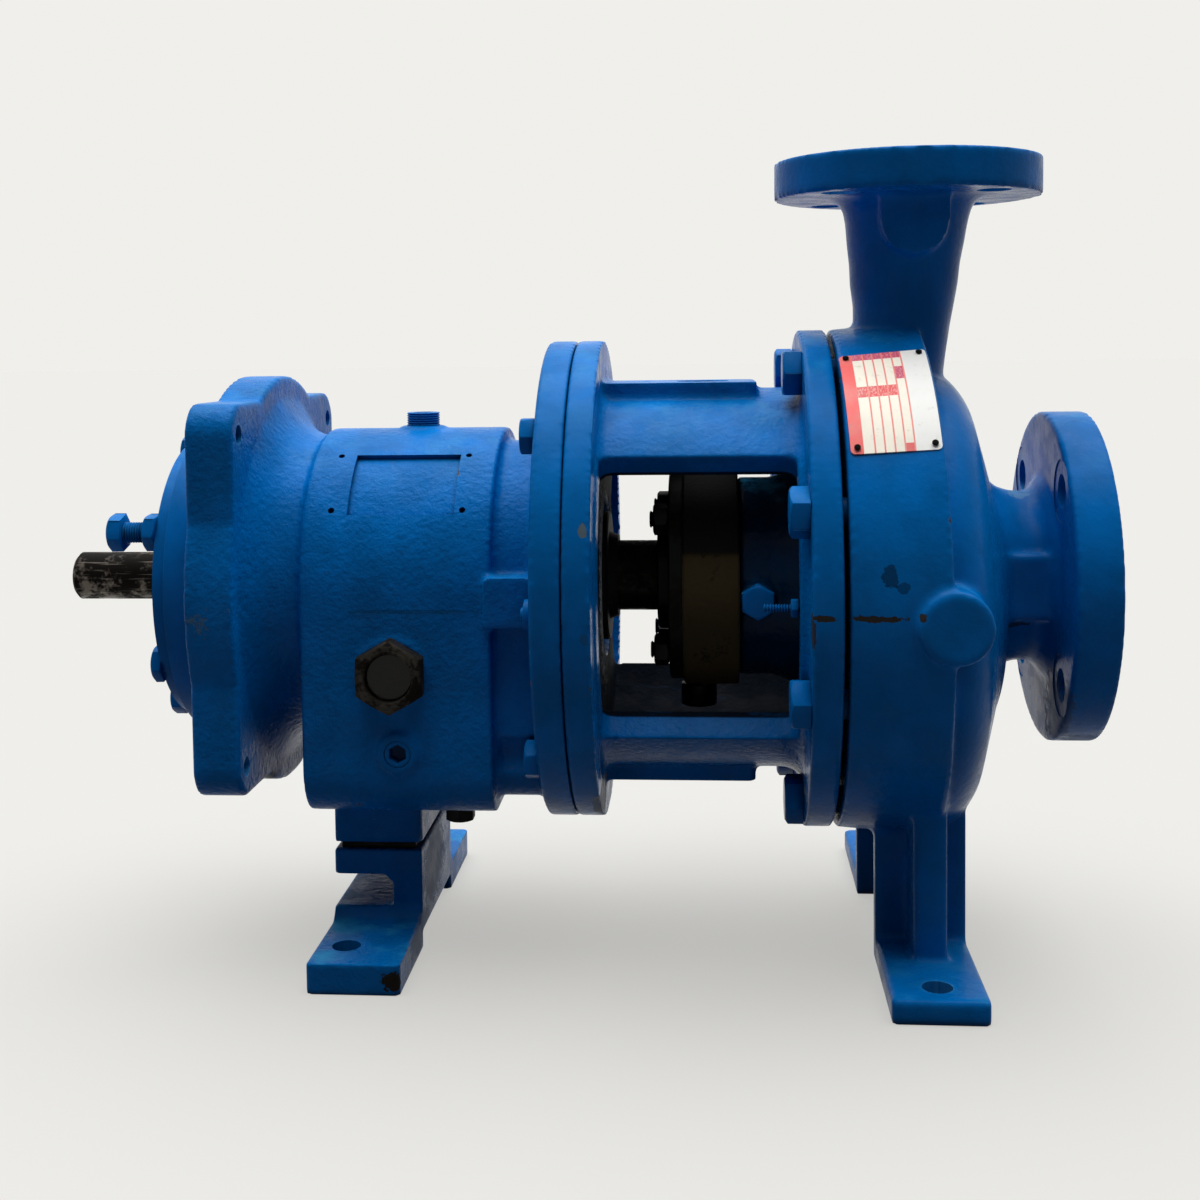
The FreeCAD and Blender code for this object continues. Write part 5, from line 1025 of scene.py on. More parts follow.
@dataclass
class Casing:
    """Volute casing with its nozzles, bosses and feet."""

    finish: bpy.types.Material
    face_x: float = -45.5
    band_radius: float = 144.3
    rim_radius: float = 148.0
    rim_x: float = 5.4
    lean: float = 1.3
    drop: float = 13.0
    side: float = 4.0
    bolt_circle: float = 130.0
    flange_bolts: tuple[float, ...] = (45, 135, 225, 315)

    def body_solids(self) -> list[bpy.types.Object]:
        """Band, dome and suction side."""
        band = turned("band", [(self.face_x, self.band_radius), (self.rim_x, self.rim_radius),
                               (self.rim_x + 0.6, self.rim_radius - 0.8), (self.rim_x + 0.6, 100)], sides=192)
        bpy.ops.object.mode_set(mode="EDIT")
        bpy.ops.mesh.select_mode(type="VERT")
        pick(band, "verts", lambda vert: vert.co.x > 0)
        bpy.ops.transform.rotate(value=math.radians(self.lean), orient_axis="Y",
                                 center_override=metres(self.rim_x, 0, 0))
        bpy.ops.object.mode_set(mode="OBJECT")
        dome_line = [(-30, 132), (6, 134.5)] + arc((6, 134.5), (30.5, 117.2), (21, 134.5))[1:]
        dome_line += [(43, 76), (47, 66), (48.5, 60), (48.5, 30)]
        dome = turned("dome", dome_line, (self.side, -self.drop), sides=192)
        neck = [(30, 58), (46, 56), (51, 52), (58, 49.6), (65, 49)] + arc((65, 49), (73.8, 57), (73, 49.4))[1:]
        neck[-1] = (76.6, 58)
        neck += [(76.6, 95.25), (101.6, 95.25), (101.6, 30)]
        return [band, dome, turned("suction", neck, sides=160)]

    def nozzle_solids(self) -> list[bpy.types.Object]:
        """Discharge neck, its flange and its flat boss."""
        sections = [
            (92, -8, 4, 34, 46), (104, -7.4, 4, 30, 41), (116, -6.6, 3, 27.2, 37), (130, -4.8, 1, 26.8, 34.4),
            (147, -3.2, 0, 27.7, 33), (158, -2.2, 0, 28.8, 33.4), (170, -1.9, 0, 30.7, 34), (182, -1.5, 0, 31.6, 35),
            (193, -1.0, 0, 33.3, 36), (205, -0.4, 0, 34.8, 37), (213, 0, 0, 36.6, 38.4), (217, 0, 0, 39, 40.5),
            (220.4, 0, 0, 45, 45.5)]
        neck = ringed("neck", Axis.Z, sections, sides=96)
        flange = ringed("flange", Axis.Z, [(219.8, 0, 0, 76.2, 76.2), (241.3, 0, 0, 76.2, 76.2)], sides=160)
        boss = [
            bar("gauge_round", (0, -40, 204.5), 40, 19, Axis.Y, 64),
            slab("gauge_flat", (-19, -40, 204.5), (19, 0, 221)),
        ]
        return [neck, flange] + boss

    def boss_solids(self) -> list[bpy.types.Object]:
        """Round blank boss and the flat boss on the suction neck."""
        round_boss = ringed("round_boss", Axis.Y, [
            (-151.5, 6.2, -5.5, 17.6, 17.6), (-150.6, 6.2, -5.5, 18.7, 18.7), (-118, 6.2, -5.5, 19.6, 19.6),
            (-100, 6.2, -5.5, 22, 22)], sides=72)
        return [round_boss, slab("neck_boss", (46, -52, -18.6), (75, 0, 18.6), 2, Axis.X)]

    def leg_solids(self) -> list[bpy.types.Object]:
        """Pads, upright plates and ribs of both feet."""
        solids = []
        for side in (-1, 1):
            def across(near: float, far: float) -> tuple[float, float]:
                return (near * side, far * side) if side > 0 else (far * side, near * side)
            y = across(48, 141.4)
            solids.append(slab("pad", (-25, y[0], -209.55), (25, y[1], -196.55), 2.5, Axis.Z))
            y = across(48, 60)
            solids.append(slab("web", (-25, y[0], -209.55), (25, y[1], -96), 2, Axis.Z))
            y = across(48, 91)
            solids.append(slab("rib", (-7.5, y[0], -209.55), (10.3, y[1], -88), 2, Axis.Z))
            y = across(48, 71)
        return solids

    def cutters(self) -> list[bpy.types.Object]:
        """Impeller chamber and both passages."""
        return [
            turned("chamber", [(-47, 112.4), (13.4, 112.4), (13.5, 104), (13.8, 38.1), (103, 38.1)]),
            ringed("outlet", Axis.Z, [(95, -4.7, 0, 17, 20), (147, -4.7, 0, 17.2, 24), (205, 0, 0, 24, 24),
                                      (219, 0, 0, 25.4, 25.4), (243, 0, 0, 25.4, 25.4)], sides=72),
        ]

    def drills(self) -> list[list[bpy.types.Object]]:
        """Bolt holes, and the spot faces behind the suction flange."""
        holes, spots = [], []
        for angle in (22.5 + 45 * k for k in range(8)):
            y, z = around(self.bolt_circle, angle)
            holes.append(bar("bolt_hole", (-47, y, z), 18, 7.95, sides=32))
        for angle in self.flange_bolts:
            y, z = around(76.2, angle)
            holes.append(bar("suction_hole", (66, y, z), 40, 9.525, sides=48))
            spots.append(bar("suction_spot", (64, y, z), 13.2, 17.5, sides=48))
            x, y = 60.325 * math.sin(math.radians(angle)), 60.325 * math.cos(math.radians(angle))
            holes.append(bar("discharge_hole", (x, y, 212), 34, 9.525, Axis.Z, 48))
        for side in (-1, 1):
            holes.append(bar("foot_hole", (0, side * 123.825, -212), 18, 7.95, Axis.Z, 48))
        return [spots, holes]

    def build(self) -> None:
        """Casts the casing and paints it."""
        solids = self.body_solids() + self.nozzle_solids() + self.boss_solids() + self.leg_solids()
        piece = cast("casing_shell", solids, self.cutters(), self.drills(), 1.9, 3, 196000)
        show(piece, self.finish, "frame", ["casing"])


@dataclass
class Adapter:
    """Lantern between bearing frame and casing."""

    finish: bpy.types.Material
    left_x: float = -191.8
    right_x: float = -48.0
    tube: float = 111.0
    bore: float = 94.0

    def solids(self) -> list[bpy.types.Object]:
        """Flanges, tube and raised pads."""
        wall = [(self.left_x, 47), (self.left_x, 139.6), (-176.6, 139.6), (-176.6, 117)]
        wall += arc((-176.6, 117), (-169.6, self.tube), (-175.6, self.tube + 0.5))[1:]
        wall += [(-74, self.tube)] + arc((-74, self.tube), (-64.2, 119), (-65, self.tube + 1))[1:]
        wall += [(-64.2, 144.3), (self.right_x, 144.3), (self.right_x, 118.4), (-58, 118.4), (-58, 80),
                 (-64.2, 80), (-64.2, self.bore), (-176.6, self.bore), (-176.6, 47)]
        solids = [turned("lantern", wall, closed=True, sides=192)]
        solids.append(slab("top_pad", (-180, -34, 96), (-88, 34, 115.4), 3, Axis.Z))
        solids.append(slab("low_pad", (-180, -34, -115.4), (-90, 34, -96), 3, Axis.Z))
        return solids

    def cutters(self) -> list[bpy.types.Object]:
        """Windows, slots and the vent."""
        tools = []
        for first, last, left_x, outer in ((46.8, 135, -175.4, 150), (225, 313.2, -182.6, 113)):
            window = wedge("window", left_x, -68.2 - left_x, 60, outer, first, last)
            bpy.ops.object.mode_set(mode="EDIT")
            bpy.ops.mesh.select_mode(type="EDGE")
            pick(window, "edges", self.corner)
            bpy.ops.mesh.bevel(offset=9 * MM, segments=8, affect="EDGES")
            bpy.ops.object.mode_set(mode="OBJECT")
            tools.append(window)
        tools.append(slab("slot", (-133, -18, 80), (-104, 18, 130), 8, Axis.Z))
        tools.append(slab("drip_slot", (-133, -6, -130), (-103, 6, -80), 5.9, Axis.Z))
        tools.append(bar("vent", (-152, 0, 80), 50, 4, Axis.Z, 32))
        return tools

    def drills(self) -> list[list[bpy.types.Object]]:
        """Bolt holes and the seat of the small jack screw."""
        tools = []
        for angle in (22.5 + 45 * k for k in range(8)):
            y, z = around(130, angle)
            tools.append(bar("bolt_hole", (-66, y, z), 20, 8.4, sides=32))
        y, z = around(95, 92.4)
        tools.append(bar("jack_spot", (-69.5, y, z), 6, 6.9, sides=32))
        return [tools]

    @staticmethod
    def corner(edge: bmesh.types.BMEdge) -> bool:
        """Straight corner edge of a window wedge, running outwards."""
        a, b = edge.verts[0].co, edge.verts[1].co
        if abs(a.x - b.x) > 1e-6:
            return False
        reach = [math.hypot(p.y, p.z - AXIS_HEIGHT * MM) for p in (a, b)]
        return abs(reach[0] - reach[1]) > 0.05

    def build(self) -> None:
        """Casts the lantern and paints it."""
        piece = cast("lantern_adapter", self.solids(), self.cutters(), self.drills(), 1.7, 3)
        show(piece, self.finish, "frame", ["frame_adapter"])


@dataclass
class BearingFrame:
    """Bearing frame with its oil sump, flanges and bosses."""

    finish: bpy.types.Material
    left_x: float = -395.2
    flange_end_x: float = -369.2
    radius: float = 89.0
    sump: float = 124.0

    def tunnel(self, name: str, low_x: float, high_x: float, inset: float) -> list[bpy.types.Object]:
        """Barrel section: round above with straight sides and a rounded sump."""
        radius = self.radius - inset
        return [
            bar(name, (low_x, 0, 0), high_x - low_x, radius, sides=192),
            slab(name + "_low", (low_x, -radius, inset - self.sump), (high_x, radius, 0), 26 - inset / 2, Axis.X,
                 lambda middle: middle.z < -50),
        ]

    def solids(self) -> list[bpy.types.Object]:
        """Flanges, barrel, neck and bosses."""
        flare = [(-380, 108), (self.flange_end_x, 108)] + arc((self.flange_end_x, 108), (-341, 84.5), (-360, 85))[1:]
        solids = [
            slab("ears", (self.left_x, -113, -108), (self.flange_end_x, 113, 108), 19, Axis.X),
            bar("round_flange", (self.left_x, 0, 0), self.flange_end_x - self.left_x, 121, sides=192),
            turned("flare", flare + [(-330, 84)], sides=160),
            bar("adapter_flange", (-208.5, 0, 0), 16.7, 139.6, sides=192),
            slab("foot_boss", (-334, -50, -148.6), (-282.6, 50, -112), 4, Axis.Z),
            slab("near_boss", (-238, -94, -16), (-206, -70, 12), 1.5, Axis.Y),
            slab("far_boss", (-238, 70, -16), (-206, 94, 12), 1.5, Axis.Y),
            bar("sight_boss", (-289.7, -90.4, -41.6), 12, 19.6, Axis.Y, 64),
            bar("level_boss", (-287, -92.4, -85.5), 12, 11, Axis.Y, 48, 13),
            bar("drain_boss", (-261, -40, -126), 12, 11, Axis.Z, 48),
            bar("fill_boss", (-286, 0, 82), 8.6, 15, Axis.Z, 48, 12.5),
        ]
        solids += self.tunnel("barrel", -341, -235, 0.0)
        solids += self.tunnel("neck", -240, -207, 8.0)
        solids.append(turned("neck_blend", [(-222, 80), (-214, 82), (-209.5, 90), (-208, 97), (-206, 97)], sides=128))
        return solids

    def cutters(self) -> list[bpy.types.Object]:
        """Bores, and the pockets round the bolt heads."""
        tools = [
            turned("bores", [(-398, 57.5), (-330, 57.5), (-329, 50.4), (-205, 50.4), (-204.9, 36.2), (-190, 36.2)]),
        ]
        for angle in (45, 135, 225, 315):
            y, z = around(125, angle)
            tools.append(bar("bolt_pocket", (-233, y, z), 24.6, 12.6, sides=48))
        return tools

    def drills(self) -> list[list[bpy.types.Object]]:
        """Plate recess, and the holes beside it, in the ears and for the level plug."""
        tools = [
            wedge("plate_recess", -316, 60, self.radius - 2.8, self.radius + 6, 31.5, 59.8),
            bar("level_hole", (-287, -94, -85.5), 12, 7.5, Axis.Y, 32),
        ]
        for x in (-325, -251.5):
            for angle in (32, 58):
                tools.append(self.pin_hole(x, angle))
        for y in (-99, 99):
            for z in (-91, 91):
                tools.append(bar("ear_hole", (-398, y, z), 34, 5.4, sides=32))
        return [tools]

    def pin_hole(self, x: float, angle: float) -> bpy.types.Object:
        """Small hole beside the plate recess, square to the barrel."""
        hole = bar("pin_hole", (x, 0, self.radius - 4), 8, 1.8, Axis.Z, 16)
        turn = Matrix.Rotation(math.radians(angle), 4, "X")
        centre = Matrix.Translation(metres(0, 0, 0))
        hole.data.transform(centre @ turn @ centre.inverted())
        return hole

    def build(self) -> None:
        """Casts the frame and paints it."""
        piece = cast("bearing_frame_shell", self.solids(), self.cutters(), self.drills(), 1.8, 3)
        show(piece, self.finish, "frame", ["bearing_frame"])


@dataclass
class FrameFoot:
    """Bracket under the sump, with its shim."""

    finish: bpy.types.Material
    shim: bpy.types.Material

    def build(self) -> None:
        """Casts the foot and lays the shim on it."""
        x0, x1 = -334.0, -282.6
        solids = [
            slab("top", (x0, -50, -167.3), (x1, 50, -152.6), 3, Axis.Z),
            slab("web", (x1 - 17, -50, -200), (x1, 50, -153)),
            slab("bridge", (x0, -50, -200.5), (x1, 50, -185.5)),
            slab("near_pad", (x0, -119, -209.55), (x1, -47, -192.95), 3, Axis.Z),
            slab("far_pad", (x0, 47, -209.55), (x1, 119, -192.95), 3, Axis.Z),
        ]
        solids += [self.blend(-1), self.blend(1), self.throat()]
        tools = [bar("hole", (-317.5, side * 92.075, -212), 24, 7.95, Axis.Z, 48) for side in (-1, 1)]
        tools.append(bar("bolt_hole", (-316.8, 0, -170), 20, 6.9, Axis.Z, 32))
        piece = cast("frame_foot_casting", solids, [], [tools], 1.1, 4)
        show(piece, self.finish, "frame", ["frame_foot"])
        shim = soften(slab("foot_shim_plate", (x0 + 4, -46, -152.6), (x1 - 4, 46, -148.6)), 0.3)
        show(shim, self.shim, "frame", ["foot_shim"])

    def blend(self, side: int) -> bpy.types.Object:
        """Hollow rounding from the bridge down to a pad."""
        profile = [(-334, 0), (-282.6, 0)]
        blend = slab("blend", (profile[0][0], 50 if side > 0 else -59, -194), (profile[1][0], 59 if side > 0 else -50, -185.5))
        only(blend)
        bpy.ops.object.mode_set(mode="EDIT")
        bpy.ops.mesh.select_mode(type="EDGE")
        pick(blend, "edges", lambda edge: along(edge, 0) and abs(middle_of(edge).y) > 55 and middle_of(edge).z > -190)
        bpy.ops.mesh.bevel(offset=8.4 * MM, segments=8, affect="EDGES", profile=0.15)
        bpy.ops.object.mode_set(mode="OBJECT")
        return blend

    def throat(self) -> bpy.types.Object:
        """Small fillet bars inside the cut-out."""
        return bar("throat", (-300.5, -50, -168.2), 100, 2.4, Axis.Y, 16)


class Hexagon:
    """Maker of hexagonal heads and nuts with turned-off corners."""

    @staticmethod
    def head(name: str, start: Point, flats: float, height: float, axis: Axis = Axis.X, face_first: bool = True,
             both: bool = False) -> bpy.types.Object:
        """Makes one head.

        Args:
            name: Object name.
            start: First end of the axis in millimetres.
            flats: Width across flats.
            height: Height along the axis.
            axis: Direction of the head.
            face_first: Whether the free, chamfered face is at the first end.
            both: Whether both ends are chamfered, as on a nut.

        Returns:
            The head.
        """
        corner = flats / math.sqrt(3)
        head = bar(name, start, height, corner, axis, 6)
        cone = corner * 1.0
        low = flats / 2 * 0.94
        run = (cone - low) * 0.62
        index = {Axis.X: 0, Axis.Y: 1, Axis.Z: 2}[axis]
        others = [v for i, v in enumerate(start) if i != index]
        first = low if face_first or both else cone
        last = low if both or not face_first else cone
        rings = [(start[index] - 0.01, first)]
        rings += [(start[index] + run, cone)] if first == low else []
        rings += [(start[index] + height - run, cone)] if last == low else []
        rings += [(start[index] + height + 0.01, last)]
        mould = ringed("mould", axis, [(place, *others, radius, radius) for place, radius in rings], sides=48)
        finish_modifier(head, "BOOLEAN", operation="INTERSECT", object=mould, solver="MANIFOLD")
        bpy.data.objects.remove(mould)
        return soften(head, 0.35, 2, 20)


@dataclass
class FlangeBolts:
    """Bolts from frame to adapter and from adapter to casing."""

    finish: bpy.types.Material

    def ring(self, name: str, node: str, circle: float, angles: Sequence[float], x: float, flats: float,
             height: float, shank: float, radius: float) -> None:
        """Copies one bolt round a circle.

        Args:
            name: Base of the piece names.
            node: Node of the frame that the bolts stand for.
            circle: Radius of the bolt circle.
            angles: Places of the bolts.
            x: Place of the seat under the head.
            flats: Width across flats.
            height: Height of the head.
            shank: Length under the head.
            radius: Radius of the shank.
        """
        y, z = around(circle, angles[0])
        head = Hexagon.head(name, (x - height, y, z), flats, height)
        body = soften(bar("shank", (x - 0.2, y, z), shank, radius, sides=32), 0.5)
        first = join(name, [head, body])
        bolts = [first]
        for count, angle in enumerate(angles[1:], start=2):
            there = around(circle, angle)
            copy = twin(first, f"{name}_{count}", Vector((0, (there[0] - y) * MM, (there[1] - z) * MM)))
            self.spin(copy, there, 17 * count)
            bolts.append(copy)
        whole = join(name, bolts)
        show(whole, self.finish, "frame", [node])

    @staticmethod
    def spin(piece: bpy.types.Object, centre: tuple[float, float], angle: float) -> None:
        """Turns a bolt about its own axis, as real ones are never lined up."""
        place = Matrix.Translation(metres(0, *centre))
        piece.data.transform(place @ Matrix.Rotation(math.radians(angle), 4, "X") @ place.inverted())

    def build(self) -> None:
        """Makes both rings of bolts and the dowels."""
        self.ring("casing_bolt_ring", "casing_bolts", 130, [22.5 + 45 * k for k in range(8)], -64.2, 24, 10.5, 31, 7.9)
        self.ring("frame_bolt_ring", "frame_bolts", 125, [45, 135, 225, 315], -208.5, 19, 8.3, 28, 6.3)
        pins = []
        for side in (-1, 1):
            y, z = around(103, 93.6 * -side)
            pins.append(soften(bar("dowel_pins", (-216.4, y, z), 34.6, 4, sides=32), 0.8))
            pins.append(soften(bar("dowel_collar", (-214.6, y, z), 6.2, 8.4, sides=48), 0.8))
        show(join("dowel_pins", pins), self.finish, "frame", ["frame_dowels"])


@dataclass
class BearingHousing:
    """Sliding bearing housing with its cover and adjusting screws."""

    cover: bpy.types.Material
    fastener: bpy.types.Material
    rubber: bpy.types.Material
    circle: float = 75.5
    first: float = 63.0

    def holes(self, low: float, high: float) -> list[bpy.types.Object]:
        """Holes for the six adjusting screws."""
        tools = []
        for k in range(6):
            y, z = around(self.circle, self.first + 60 * k)
            tools.append(bar("screw_hole", (low, y, z), high - low, 6.4 if k % 2 else 5.95, sides=32))
        return tools

    def threaded(self, name: str, x: float, length: float, centre: tuple[float, float],
                 radius: float) -> bpy.types.Object:
        """Bar with thread ridges along X."""
        pitch = 1.5
        line = []
        place = x
        while place < x + length - pitch:
            line += [(place, radius - 0.95), (place + pitch * 0.5, radius)]
            place += pitch
        line.append((x + length, radius - 0.95))
        return turned(name, line, centre, sides=32)

    def screw(self, index: int, out: float) -> None:
        """One jacking screw with its own body."""
        centre = around(self.circle, self.first + 120 * (index - 1))
        head = Hexagon.head("head", (-426 - out, *centre), 19, 8)
        rod = self.threaded("rod", -426 - out + 7.8, out - 8 + 29.7, centre, 5.9)
        bpy.ops.object.shade_smooth_by_angle(angle=math.radians(20))
        piece = join(f"jacking_screw_{index}", [head, rod])
        FlangeBolts.spin(piece, centre, 11 * index + 4)
        show(piece, self.fastener, f"jack_screw_{index}", [f"jack_screw_{index}"])

    def build(self) -> None:
        """Turns the discs, drills them and adds the screws."""
        cover = turned("bearing_cover_disc", [(-426, 30), (-426, 82), (-417.3, 82), (-417.3, 30)], closed=True, sides=192)
        carve(cover, self.holes(-428, -416))
        show(soften(cover, 0.8, 3), self.cover, "bearing_housing", ["bearing_end_cover"])
        disc = turned("bearing_housing_disc", [(-417, 50), (-417, 90), (-397, 90), (-397, 57.15), (-354, 57.15),
                                               (-354, 50)], closed=True, sides=192)
        carve(disc, self.holes(-418, -396))
        show(soften(disc, 0.9, 3), self.cover, "bearing_housing", ["bearing_housing"])
        nuts = []
        for k in range(3):
            centre = around(self.circle, self.first + 120 * k)
            nut = Hexagon.head("nut", (-433.5, *centre), 19, 7.5, both=True)
            carve(nut, [bar("bore", (-435, *centre), 12, 5.95, sides=32)])
            bpy.ops.object.shade_smooth_by_angle(angle=math.radians(32))
            FlangeBolts.spin(nut, centre, 9 + 23 * k)
            nuts.append(nut)
        show(join("jam_nut_set", nuts), self.fastener, "bearing_housing", ["jam_nuts"])
        bolts = []
        for k in range(3):
            centre = around(self.circle, self.first + 60 + 120 * k)
            head = Hexagon.head("clamp", (-431.8, *centre), 19, 5.8)
            shank = soften(bar("shank", (-426.2, *centre), 47, 5.9, sides=32), 0.5)
            bolt = join("clamp", [head, shank])
            FlangeBolts.spin(bolt, centre, 14 + 31 * k)
            bolts.append(bolt)
        show(join("clamp_bolt_set", bolts), self.fastener, "bearing_housing", ["clamp_bolts"])
        self.screw(1, 28)
        self.screw(2, 19)
        self.screw(3, 19)


@dataclass
class SealArea:
    """What shows through the lantern's windows."""

    palette: Palette

    def build(self) -> None:
        """Turns the gland, its plate, the chamber and the small fittings."""
        finish = self.palette
        gland = turned("seal_gland_ring", [(-131, 27), (-131, 62.5), (-129.8, 64), (-100, 64), (-99, 63), (-99, 46),
                                           (-94, 43.9), (-94, 36), (-99, 36), (-99, 32), (-109, 32), (-109, 27)],
                       closed=True, sides=160)
        bpy.ops.object.shade_smooth_by_angle(angle=math.radians(32))
        show(gland, finish.rust, "frame", ["seal_gland"])
        plate = turned("gland_plate_disc", [(-139, 32), (-139, 60), (-138, 61), (-131.2, 61), (-131.2, 22.2),
                                            (-146, 22.2), (-146, 31), (-145, 32)], closed=True, sides=160)
        carve(plate, [bar("hole", (-140, *around(53, a)), 12, 5.3, sides=32) for a in (45, 135, 225, 315)])
        bpy.ops.object.shade_smooth_by_angle(angle=math.radians(32))
        show(plate, finish.black, "frame", ["gland_plate"])
        nuts = []
        for k, angle in enumerate((45, 135, 225, 315)):
            centre = around(53, angle)
            nut = Hexagon.head("nut", (-147.5, *centre), 16, 8.4, both=True)
            FlangeBolts.spin(nut, centre, 12 + 20 * k)
            nuts.append(nut)
        show(join("gland_nut_set", nuts), finish.black, "frame", ["gland_nuts"])
        studs = []
        for angle in (45, 135, 225, 315):
            stud = BearingHousing.threaded(None, "stud", -149.5, 68, around(53, angle), 5.0)
            bpy.ops.object.shade_smooth_by_angle(angle=math.radians(20))
            studs.append(stud)
        show(join("gland_stud_set", studs), finish.black, "frame", ["gland_studs"])
        chamber = turned("chamber_shell", [(-99, 44), (-99, 57), (-98, 58), (-80, 58), (-68, 62), (-60, 66), (-58, 72),
                                           (-58, 118), (-46, 118), (-46, 112), (-22, 112), (-22, 26), (-34, 26),
                                           (-34, 44)], closed=True, sides=160)
        boss = ringed("boss", Axis.Y, [(-67, -89.3, -4.5, 9.2, 9.2), (-66, -89.3, -4.5, 9.6, 9.6),
                                       (-50, -89.3, -4.5, 10.5, 10.5)], sides=48)
        chamber_cast = cast("seal_chamber_casting", [chamber, boss], [
            bar("chamber_bore", (-101, 0, 0), 60, 44, sides=96)], [], 1.5, 3, 150000)
        show(chamber_cast, finish.chamber, "frame", ["seal_chamber_cover"])
        plug = Hexagon.head("flush_port_plug", (-89.3, -76, -4.5), 17.2, 9, Axis.Y)
        show(plug, finish.fastener, "frame", ["flush_plug"])
        port = soften(bar("gland_drain_plug", (-122.5, 0, -77.4), 13, 10.5, Axis.Z, 48), 1.0)
        show(port, finish.black, "frame", ["gland_port_plug"])
        y, z = around(95, 92.4)
        screw = BearingHousing.threaded(None, "cover_jack", -87.2, 24, (y, z), 2.3)
        nut = Hexagon.head("nut", (-72.7, y, z), 9.2, 4.1, both=True)
        show(join("cover_jack", [screw, nut]), finish.fastener, "frame", ["cover_jack_screw"])


@dataclass
class OilFittings:
    """Sight glass, plugs and fill nipple on the bearing frame."""

    palette: Palette

    def build(self) -> None:
        """Makes each fitting."""
        finish = self.palette
        body = Hexagon.head("sight_nut", (-289.7, -102, -41.6), 36, 11, Axis.Y)
        carve(body, [bar("opening", (-289.7, -103, -41.6), 8, 13.2, Axis.Y, 64)])
        bpy.ops.object.shade_smooth_by_angle(angle=math.radians(32))
        ring = ringed("ring", Axis.Y, [(-102.6, -289.7, -41.6, 15.2, 15.2), (-102.6, -289.7, -41.6, 13.6, 13.6),
                                       (-98, -289.7, -41.6, 12.8, 12.8), (-98, -289.7, -41.6, 15.2, 15.2)],
                      closed=True, sides=64)
        show(join("sight_nut", [body, soften(ring, 0.4)]), finish.fitting, "frame", ["oil_sight_body"])
        pane = soften(bar("sight_pane", (-289.7, -99.5, -41.6), 3.6, 12.9, Axis.Y, 64), 0.4)
        show(pane, finish.glass, "frame", ["oil_sight_glass"])
        plug = bar("level_plug_screw", (-287, -92.0, -85.5), 10, 7.45, Axis.Y, 48)
        carve(plug, [bar("socket", (-287, -93, -85.5), 9, 5.3, Axis.Y, 6)])
        show(soften(plug, 0.5), finish.fastener, "frame", ["oil_level_plug"])
        ridges = [point for k in range(6) for point in ((90.2 + 1.4 * k, 9.1), (90.9 + 1.4 * k, 10.0))]
        nipple = turned_up("fill_stub", [(84, 9)] + ridges + [(98.4, 9.2), (98.4, 6.2), (84, 6.2)], (-286, 0))
        show(nipple, finish.fastener, "frame", ["oil_fill_nipple"])
        drain = Hexagon.head("drain_screw", (-261, -40, -137), 15.5, 11, Axis.Z)
        show(drain, finish.black, "frame", ["drain_plug"])


def turned_up(name: str, profile: Sequence[tuple[float, float]], centre: tuple[float, float]) -> bpy.types.Object:
    """Turns (z, radius) corners about an upright line through (x, y), as a closed wall."""
    rings = [(z, centre[0], centre[1], radius, radius) for z, radius in profile]
    return soften(ringed(name, Axis.Z, rings, closed=True, sides=48), 0.3)


@dataclass
class Rotor:
    """Shaft and what turns with it."""

    palette: Palette

    def build(self) -> None:
        """Turns the visible stretch of the shaft and the flinger."""
        finish = self.palette
        line = [(-501, 12.2), (-499, 14.2875), (-426.4, 14.2875), (-426.2, 17), (-413, 17), (-412.8, 22.5),
                (-362.3, 22.5), (-362.2, 27), (-233, 27), (-232.9, 22.5), (-208, 22.5), (-207.9, 20.7),
                (-186.2, 20.7), (-186.1, 17), (-18, 17), (-17.9, 11.9), (4, 11.9)]
        shaft = turned("shaft_bar", line, sides=128)
        keyway = slab("keyway", (-502, -3.175, -17), (-467, 3.175, -10.8), 3, Axis.Z, lambda m: m.x > -470)
        centre = Matrix.Translation(metres(0, 0, 0))
        keyway.data.transform(centre @ Matrix.Rotation(math.radians(36), 4, "X") @ centre.inverted())
        carve(shaft, [keyway])
        show(soften(shaft, 0.4), finish.shaft, "rotor", ["shaft"])
        flinger = turned("flinger_disc", [(-180, 20.7), (-180, 25), (-179, 26), (-179, 37), (-178, 38), (-175.4, 38),
                                          (-174.5, 37), (-174.5, 26), (-169.5, 24), (-169.5, 20.7)],
                         closed=True, sides=128)
        bpy.ops.object.shade_smooth_by_angle(angle=math.radians(40))
        show(flinger, finish.rubber, "rotor", ["flinger"])
        sleeve = turned("sleeve_tube", [(-186, 17), (-186, 20), (-185.4, 20.7), (-37, 20.7), (-37, 17)],
                        closed=True, sides=128)
        bpy.ops.object.shade_smooth_by_angle(angle=math.radians(32))
        show(sleeve, finish.sleeve, "rotor", ["shaft_sleeve"])
        impeller = smooth_copy("impeller", "impeller_wheel")
        show(impeller, finish.steel, "rotor", ["impeller"])


